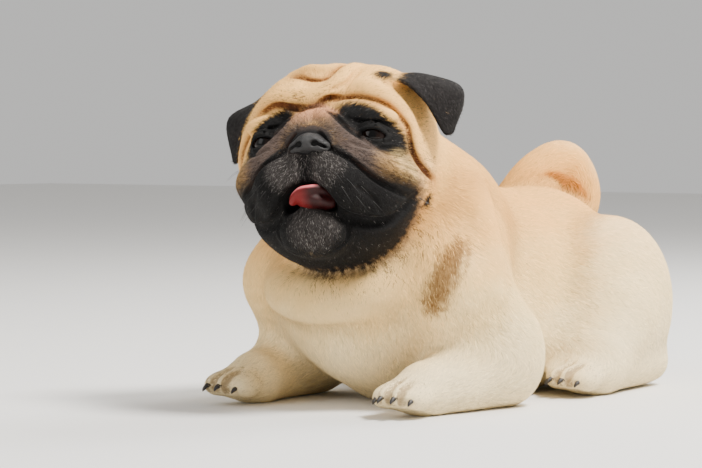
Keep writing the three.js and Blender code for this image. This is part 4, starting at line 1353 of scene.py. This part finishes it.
PART_NAMES = ("trunk", "neck", "foreleg", "hindleg", "tail", "face", "crown", "ear")
ON_TRUNK, ON_NECK, ON_FORELEG, ON_HINDLEG, ON_TAIL, ON_FACE, ON_CROWN, ON_EAR = range(len(PART_NAMES))
DARK_PARTS = (ON_FACE, ON_EAR)
CROWN_START = -22
EAR_NEAR = 1.2
HEAD_AWAY = 1


def on_ears(q, head_near, near=EAR_NEAR, away=HEAD_AWAY):
    """Which points are near an ear's sheet and away from the head."""
    return (near_ears(q) < near) & (head_near > away)


def regions(p):
    """Each point's part, as an index into PART_NAMES, and whether it is on the left."""
    q = to_head(p)
    head_near = near_plain(q)
    legs = np.minimum(foreleg(p), fore_paws(p))
    hind = np.minimum(np.minimum(hindleg(p), hind_foot(p)), hind_paws(p))
    part = np.argmin(np.stack((trunk(p), neck(p), legs, hind, tail(p), head_near)), 0)
    part = np.where((part == ON_FACE) & (q[:, 1] > CROWN_START), ON_CROWN, part)
    part = np.where(on_ears(q, head_near), ON_EAR, part)
    return part, np.where(part >= ON_FACE, q[:, 0], p[:, 0]) > 0


# The ways the coat lies, as (x, y, z) on the left, down the chest and the rump and forward
# along the forelegs and the hind feet.
CHEST_WAY = np.float32((0, 0.1, -1))
RUMP_WAY = np.float32((0, 0.2, -1))
FORELEG_WAY = np.float32((0, -1, -0.25))
HIND_WAY = np.float32((0, -1, -0.2))
OUTWARD = 0.12


def lie(p):
    """The way the coat lies at each point, in the drawing frame."""
    x = np.abs(p[:, 0])
    flow = np.column_stack((0 * x, np.ones(len(p)), -0.2 - 0.55 * soft(x, 25, 85)))
    flow = layered(flow, (
        (CHEST_WAY, soft(-p[:, 1], 70, 120)),
        (RUMP_WAY, soft(p[:, 1], 150, 205)),
        (FORELEG_WAY, faded(np.minimum(forearm(p), fore_paws(p)), -2, 14)),
        (HIND_WAY, faded(np.minimum(hind_foot(p), hind_paws(p)), -2, 8)),
    ))
    flow[:, 0] += OUTWARD * np.sign(p[:, 0])
    flow = mixed(flow, tail_way[nearest_of(tail_path, p)], faded(tail(p), 0, 6))
    q = to_head(p)
    head_near = near_plain(q)
    radial = unit(q - NOSE_MIDDLE)
    on_ear = on_ears(q, head_near, near=1.5, away=2)
    radial[on_ear] = flipped(np.tile(ear_way, (len(q), 1)), q)[on_ear]
    on_head = faded(head_near, 0, 14)
    on_head[on_ear] = 1
    return mixed(flow, radial @ head_axes.T, on_head)


# How near the eyes, the nose, the mouth and the floor the skin stays bare.
BARE_EYE = 2.6
BARE_NOSE = 1.2
BARE_MOUTH = 0.8
BARE_FLOOR = 0.6


def tuft_sizes(p):
    """Length, width, lift and coverage of the tufts at each point, and where skin is bare."""
    q = to_head(p)
    head_near = near_plain(q)
    face = faded(mask_form(q), -2, 12) + faded(eye_ball(q), 4, 16)
    face = np.clip(face + faded(nose_roll(q), 0, 10), 0, 1)
    on_head = faded(head_near, 2, 20)
    ear = np.float32(on_ears(q, head_near))
    sizes = layered(np.tile(BODY_TUFT, (len(p), 1)), (
        (np.float32(PAW_TUFT), faded(all_paws(p), 0, 18)), (np.float32(HEAD_TUFT), on_head),
        (np.float32(FACE_TUFT), on_head * face), (np.float32(EAR_TUFT), ear),
    ))
    crease = np.minimum.reduce([near_head(line)(q) for line in wrinkle_lines])
    sizes[:, :2] *= (CREASE_SHARE + (1 - CREASE_SHARE) * soft(crease, 0, CREASE_REACH))[:, None]
    bare = (eye_ball(q) < BARE_EYE) | (nose_form(q) < BARE_NOSE) | (mouth_cavity(q) < BARE_MOUTH)
    return sizes, bare | (p[:, 2] < FLOOR_GAP + BARE_FLOOR)


# The coat's unwraps: for the head and the legs a round map of a ball, given by its middle, its
# pole and a way that isn't the pole's, and for the trunk and the neck a tube's two ends.
HEAD_BALLS = (
    (ON_FACE, (0, -4, -8), (0, -1, 0), (0.2, 0.3, 1)), (ON_CROWN, (0, -4, -8), (0, 0, 1), (1, 0.2, 0.1)),
)
LEG_BALLS = (
    (ON_FORELEG, (88, -66, 60), (1, 0, 0), (0.2, 0.3, 1)),
    (ON_HINDLEG, (86, 140, 60), (1, 0, 0), (0.2, 0.3, 1)),
)
TUBES = ((ON_TRUNK, (0, -170, 80), (0, 230, 95)), (ON_NECK, (2, 20, 110), (4, -150, 196)))
MAP_RADIUS = 0.49
MAP_EDGE = 0.004
TAIL_STRETCH = 8
EAR_MAP_EDGE = 0.03
EAR_MAP_SIZE = (0.44, 0.94)


def ball_places(p, middle, pole, aside):
    """Places on the round map of a ball, seen from its pole."""
    way = unit(p - np.float32(middle))
    pole = np.float32(pole)
    east = unit(np.cross(aside, pole)[None])[0]
    north = np.cross(pole, east)
    out = np.sqrt(np.clip(1 - way @ pole, 0, 2) / 2)
    turn = np.arctan2(way @ north, way @ east)
    return 0.5 + MAP_RADIUS * out[:, None] * np.column_stack((np.cos(turn), np.sin(turn)))


def tube_places(p, start, end):
    """Places round and along a tube from start to end."""
    start, end = np.float32(start), np.float32(end)
    long = np.linalg.norm(end - start)
    axis = (end - start) / long
    away = p - start
    around = np.arctan2(away[:, 0], away @ np.cross(axis, (1, 0, 0))) / (2 * math.pi) + 0.5
    return np.column_stack((around, away @ axis / long))


def tail_places(p):
    """Places round and along the curled tail."""
    index = nearest_of(tail_path, p)
    away = p - tail_path[index]
    across = np.cross(tail_way[index], (1, 0, 0))
    around = np.arctan2(away[:, 0], (away * across).sum(1)) / (2 * math.pi) + 0.5
    index = index + np.clip((away * tail_way[index]).sum(1) / TAIL_STRETCH, -0.5, 0.5)
    return np.column_stack((around, (index + 1) / (len(tail_path) + 1)))


def ear_places(q, facing):
    """Places on the ears' sheets, with their two faces on the map's two halves."""
    places = np.zeros((len(q), 2))
    drawn = flipped(q, q).tolist()
    ways = flipped(facing, q)
    for i, (point, way, left) in enumerate(zip(drawn, ways, q[:, 0] > 0)):
        side = 0 if left else 1
        sheet_points, squares = ear_sheets[side]
        at, _, index, _ = ear_trees[side].find_nearest(point)
        corners = sheet_points[squares[index]]
        first, second = corners[1] - corners[0], corners[3] - corners[0]
        offset = np.float32(at) - corners[0]
        s = np.clip(offset @ first / (first @ first), 0, 1)
        t = np.clip(offset @ second / (second @ second), 0, 1)
        column = (index % EAR_COLUMNS + s) / EAR_COLUMNS
        row = (index // EAR_COLUMNS + t) / EAR_ROWS
        places[i] = EAR_MAP_EDGE + np.array(EAR_MAP_SIZE) * (column, row)
        places[i, 0] += 0.5 * (np.cross(first, second) @ way > 0)
    return places


def unwrapped(p, part, normal):
    """Each root's place from 0 to 1 on an unwrap of its own part's skin."""
    q = to_head(p)
    uv = np.zeros((len(p), 2))
    for points, balls in ((q, HEAD_BALLS), (flipped(p, p), LEG_BALLS)):
        for number, *ball_shape in balls:
            uv[part == number] = ball_places(points[part == number], *ball_shape)
    for number, start, end in TUBES:
        uv[part == number] = tube_places(p[part == number], start, end)
    uv[part == ON_TAIL] = tail_places(p[part == ON_TAIL])
    ear = part == ON_EAR
    uv[ear] = ear_places(q[ear], normal[ear] @ head_axes)
    return np.clip(uv, MAP_EDGE, 1 - MAP_EDGE)


def tuft_roots():
    """Roots spread over the skin, as many in each place as its tufts need to cover it."""
    corners = skin_points[skin_triangles]
    cross = np.cross(corners[:, 1] - corners[:, 0], corners[:, 2] - corners[:, 0])
    area = length(cross) / 2
    middles = corners.mean(1).astype(np.float32)
    sizes, bare = tuft_sizes(middles)
    wanted = area * sizes[:, 3] / (0.5 * sizes[:, 0] * sizes[:, 1])
    wanted[bare] = 0
    count = np.floor(wanted + rng.random(len(wanted))).astype(int)
    chosen = np.repeat(np.arange(len(count)), count)
    share = rng.random((len(chosen), 2))
    share = np.where(share.sum(1, keepdims=True) > 1, 1 - share, share)
    share = np.column_stack((1 - share.sum(1), share))
    roots = (corners[chosen] * share[:, :, None]).sum(1)
    normals = unit((skin_slope[skin_triangles[chosen]] * share[:, :, None]).sum(1))
    return roots.astype(np.float32), normals.astype(np.float32), sizes[chosen]


def grown(roots, normals, sizes):
    """A tuft at each root: its four points, their normals, and its four faces."""
    count = len(roots)
    way = lie(roots)
    way = unit(way - normals * (way * normals).sum(1)[:, None])
    side = np.cross(normals, way)
    turn = rng.normal(0, LIE_SPREAD, count)[:, None]
    way, side = way * np.cos(turn) + side * np.sin(turn), side * np.cos(turn) - way * np.sin(turn)
    long = sizes[:, 0] * np.clip(rng.normal(1, LENGTH_SPREAD, count), *LENGTH_LIMITS)
    wide = sizes[:, 1] * rng.uniform(*WIDTH_LIMITS, count)
    loose = rng.random(count) < LOOSE_SHARE
    lift = np.radians(sizes[:, 2]) * np.clip(rng.normal(1, LIFT_SPREAD, count), *LIFT_LIMITS)
    lift *= np.where(loose, LOOSE_LIFT, 1)
    wide *= np.where(loose, LOOSE_WIDTH, 1)
    root = roots - normals * ROOT_SUNK
    left = root + side * wide[:, None] / 2
    right = root - side * wide[:, None] / 2
    tip = roots + way * (long * np.cos(lift))[:, None]
    tip += normals * (long * np.sin(lift) - skin_field(tip))[:, None]
    ridge = root + (tip - root) * RIDGE_PLACE + normals * (wide * RIDGE_HEIGHT)[:, None]
    points = np.stack((left, right, ridge, tip), 1)
    points[..., 2] = np.maximum(points[..., 2], TIP_GAP)
    soft_way = unit(normals + side * rng.normal(0, NORMAL_TILT, count)[:, None])
    lean = side * NORMAL_LEAN
    tip_way = soft_way + way * TIP_LEAN
    facing = np.stack((unit(soft_way + lean), unit(soft_way - lean), soft_way, unit(tip_way)), 1)
    start = np.arange(count)[:, None] * 4
    faces = np.concatenate((start + (0, 2, 3), start + (2, 1, 3), start + (0, 1, 2), start + (1, 0, 3)))
    return points.reshape(-1, 3), facing.reshape(-1, 3), faces


def mottle(q):
    """Streaks of dark hairs that run away from the nose, as a value from 0 to 1."""
    away = q - NOSE_MIDDLE
    around = np.arctan2(away[:, 2], away[:, 0]) * MOTTLE_OUT / MOTTLE_WIDTH
    place = np.column_stack((around, length(away) / MOTTLE_LENGTH))
    cell = np.floor(place)
    share = soft(place - cell, 0, 1)
    value = 0
    for across, along in np.ndindex(2, 2):
        seed = (cell[:, 0] + across) * SCATTER[0] + (cell[:, 1] + along) * SCATTER[1]
        seed = np.sin(seed) * SCATTER[2]
        weight = np.abs(1 - across - share[:, 0]) * np.abs(1 - along - share[:, 1])
        value = value + weight * (seed - np.floor(seed))
    return value


def tuft_colours(roots):
    """Colours of each tuft's points, taken from a place near its root and varied."""
    q = to_head(roots)
    ear_near = near_ears(q)
    on_body = soft(near_plain(q), 4, 14) * soft(ear_near, 4, 10) * soft(roots[:, 2], 30, 60)
    strayed = rng.normal(0, 1, roots.shape) * (EDGE_SPREAD + BODY_SPREAD * on_body)[:, None]
    colours = markings((roots + strayed).astype(np.float32))
    on_roll = faded(nose_roll(q), 0, 5)
    # grey hairs, most on the muzzle and the chin; on the muzzle's top they are also painted sheen
    muzzle = faded(np.minimum(ellipsoid(*MUZZLE_GREY_AND_SHEEN)(q), ellipsoid(*CHIN_GREY)(q)), -4, 4)
    on_ear = ear_near < 2
    bright = rng.normal(1, COLOUR_SPREAD + ROLL_SPREAD * np.maximum(on_roll, on_ear))
    colours = colours * np.clip(bright, *BRIGHT_LIMITS)[:, None]
    face = faded(np.minimum(nose_roll(q), mask_form(q)), 2, 24)
    fleck = rng.random(len(roots)) < FLECK_SHARE * face * soft(mottle(q), 0.35, 0.8)
    colours = colours * np.where(fleck, FLECK_SHADE, 1)[:, None]
    share = np.maximum(GREY_SHARE + MUZZLE_GREY_AND_SHEEN_SHARE * muzzle, EAR_GREY_SHARE * on_ear)
    grey = (colours.sum(1) < DARK) & (rng.random(len(roots)) < share)
    most = grey * np.where(on_ear, EAR_GREY, GREY_MOST)
    colours = mixed(colours, GREY_HAIR, most * rng.random(len(roots)) ** 2)
    shades = np.float32((ROOT_SHADE, ROOT_SHADE, 1, TIP_SHADE))
    return (colours[:, None] * shades[None, :, None]).reshape(-1, 3)


def coat_pieces():
    look = coat_material()
    roots, normals, sizes = tuft_roots()
    part, left = regions(roots)
    uv = unwrapped(roots, part, normals)
    spread = np.float32(((-1, -1), (1, -1), (0, 0), (0, 1))) * TUFT_PATCH / 2
    for number, name in enumerate(PART_NAMES):
        for on_left, side in enumerate(("right", "left")):
            chosen = (part == number) & (left == on_left)
            points, facing, faces = grown(roots[chosen], normals[chosen], sizes[chosen])
            colours = tuft_colours(roots[chosen])
            places = (uv[chosen][:, None] + spread).reshape(-1, 2)
            slot = "dark_coat" if number in DARK_PARTS else "fawn_coat"
            coat = new_piece(f"coat_{name}_{side}", points, faces, look, slot, colours, facing, places)
            coat.visible_shadow = False


coat_pieces()

# Whiskers and the longer hairs of the moles: thin, bent and tapered.
WHISKER_ROOTS = (
    (24, -82, -26), (31, -77, -30), (38, -69, -34), (28, -80, -36), (36, -72, -42), (44, -60, -44),
)
WHISKER_LENGTH = 17
WHISKER_RADIUS = 0.16
WHISKER_TAPER = 1.02
WHISKER_POINTS = 7
WHISKER_SIDES = 4
WHISKER_BEND = (0.1, 0.25, -0.3)
MOLE_HAIRS = ((73, -22, -42), (72, -24, -41), (74, -21, -43), (78, -27, -11), (77, -27, -12))


def hair(root, way, long, bend):
    t = np.linspace(0, 1, WHISKER_POINTS)[:, None]
    path = root + way * long * t + bend * long * t**2
    return tube(path, WHISKER_RADIUS * (WHISKER_TAPER - t[:, 0]), WHISKER_SIDES)


def whiskers():
    """The whiskers of both sides, in the drawing frame."""
    roots = laid(folded_head, [(*p, 0, 0) for p in WHISKER_ROOTS + MOLE_HAIRS], 1)[:, :3]
    parts = []
    for _, sign in SIDES:
        for root in roots * (sign, 1, 1):
            way = unit((root - NOSE_MIDDLE)[None])[0]
            bend = np.float32(WHISKER_BEND) * (sign, 1, 1) * rng.uniform(0.6, 1.2)
            points, faces = hair(root, way, WHISKER_LENGTH * rng.uniform(0.5, 1), bend)
            parts.append((from_head(points), faces))
    return gathered(parts)


new_piece("whiskers", *whiskers(), whisker_material(), "nose_leather")

# Floor, camera and light. The camera is at the photograph's viewing angle: its place is in the
# drawing frame, and the lens is given in pixels of the photograph, which is 702 wide. The
# lamps and the floor are in metres.
CAMERA_AT = (1198.861, -1729.334, 210)
CAMERA_TURN = 36.5
CAMERA_DOWN = 2.24
CAMERA_REACH = 30
LENS_PIXELS = 2660
PHOTO_WIDTH = 702
SENSOR = 36
FLOOR_HALF = 6
FLOOR_COLOUR = (0.78, 0.77, 0.75, 1)
SKY_COLOUR = (1, 0.99, 0.97, 1)
SKY_STRENGTH = 0.64
LIT_POINT = (0, 0, 0.1)
# The lamps, as (name, place, size, power in watts, colour).
LAMPS = (
    ("key", (1.4, 0.1, 2.2), 0.7, 150, (1, 0.97, 0.92)),
    ("fill", (-0.9, -1.7, 1.0), 1.4, 16, (1, 0.99, 0.97)),
    ("rim", (0.3, 1.6, 1.6), 0.9, 42, (1, 0.99, 0.96)),
)


def floor():
    mesh = bpy.data.meshes.new("floor")
    corners = [(x * FLOOR_HALF, y * FLOOR_HALF, 0) for x, y in ((-1, -1), (1, -1), (1, 1), (-1, 1))]
    mesh.from_pydata(corners, [], [(0, 1, 2, 3)])
    mesh.materials.append(new_material("pale_floor", Roughness=0.85, Base_Color=FLOOR_COLOUR)[0])
    ground = bpy.data.objects.new("floor", mesh)
    bpy.context.scene.collection.objects.link(ground)
    ground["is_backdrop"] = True


def camera():
    data = bpy.data.cameras.new("camera")
    data.sensor_width = SENSOR
    data.lens = SENSOR * LENS_PIXELS / PHOTO_WIDTH
    data.clip_end = CAMERA_REACH
    eye = bpy.data.objects.new("camera", data)
    eye.location = (np.float32(CAMERA_AT) + SHIFT) * MM
    eye.rotation_euler = (math.radians(90 - CAMERA_DOWN), 0, math.radians(CAMERA_TURN))
    bpy.context.scene.collection.objects.link(eye)
    bpy.context.scene.camera = eye


def lamp(name, at, size, power, colour):
    data = bpy.data.lights.new(name, "AREA")
    data.size = size
    data.energy = power
    data.color = colour
    light = bpy.data.objects.new(name, data)
    light.location = at
    light.rotation_euler = (Vector(LIT_POINT) - Vector(at)).to_track_quat("-Z", "Y").to_euler()
    bpy.context.scene.collection.objects.link(light)


def sky():
    world = bpy.data.worlds.new("studio")
    world.use_nodes = True
    background = world.node_tree.nodes["Background"]
    background.inputs["Color"].default_value = SKY_COLOUR
    background.inputs["Strength"].default_value = SKY_STRENGTH
    bpy.context.scene.world = world


floor()
camera()
for values in LAMPS:
    lamp(*values)
sky()

bounds = {"cad": cad_bounds, "visual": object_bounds()}
{name: [[float(c) for c in corner] for corner in box] for name, box in bounds.items()}
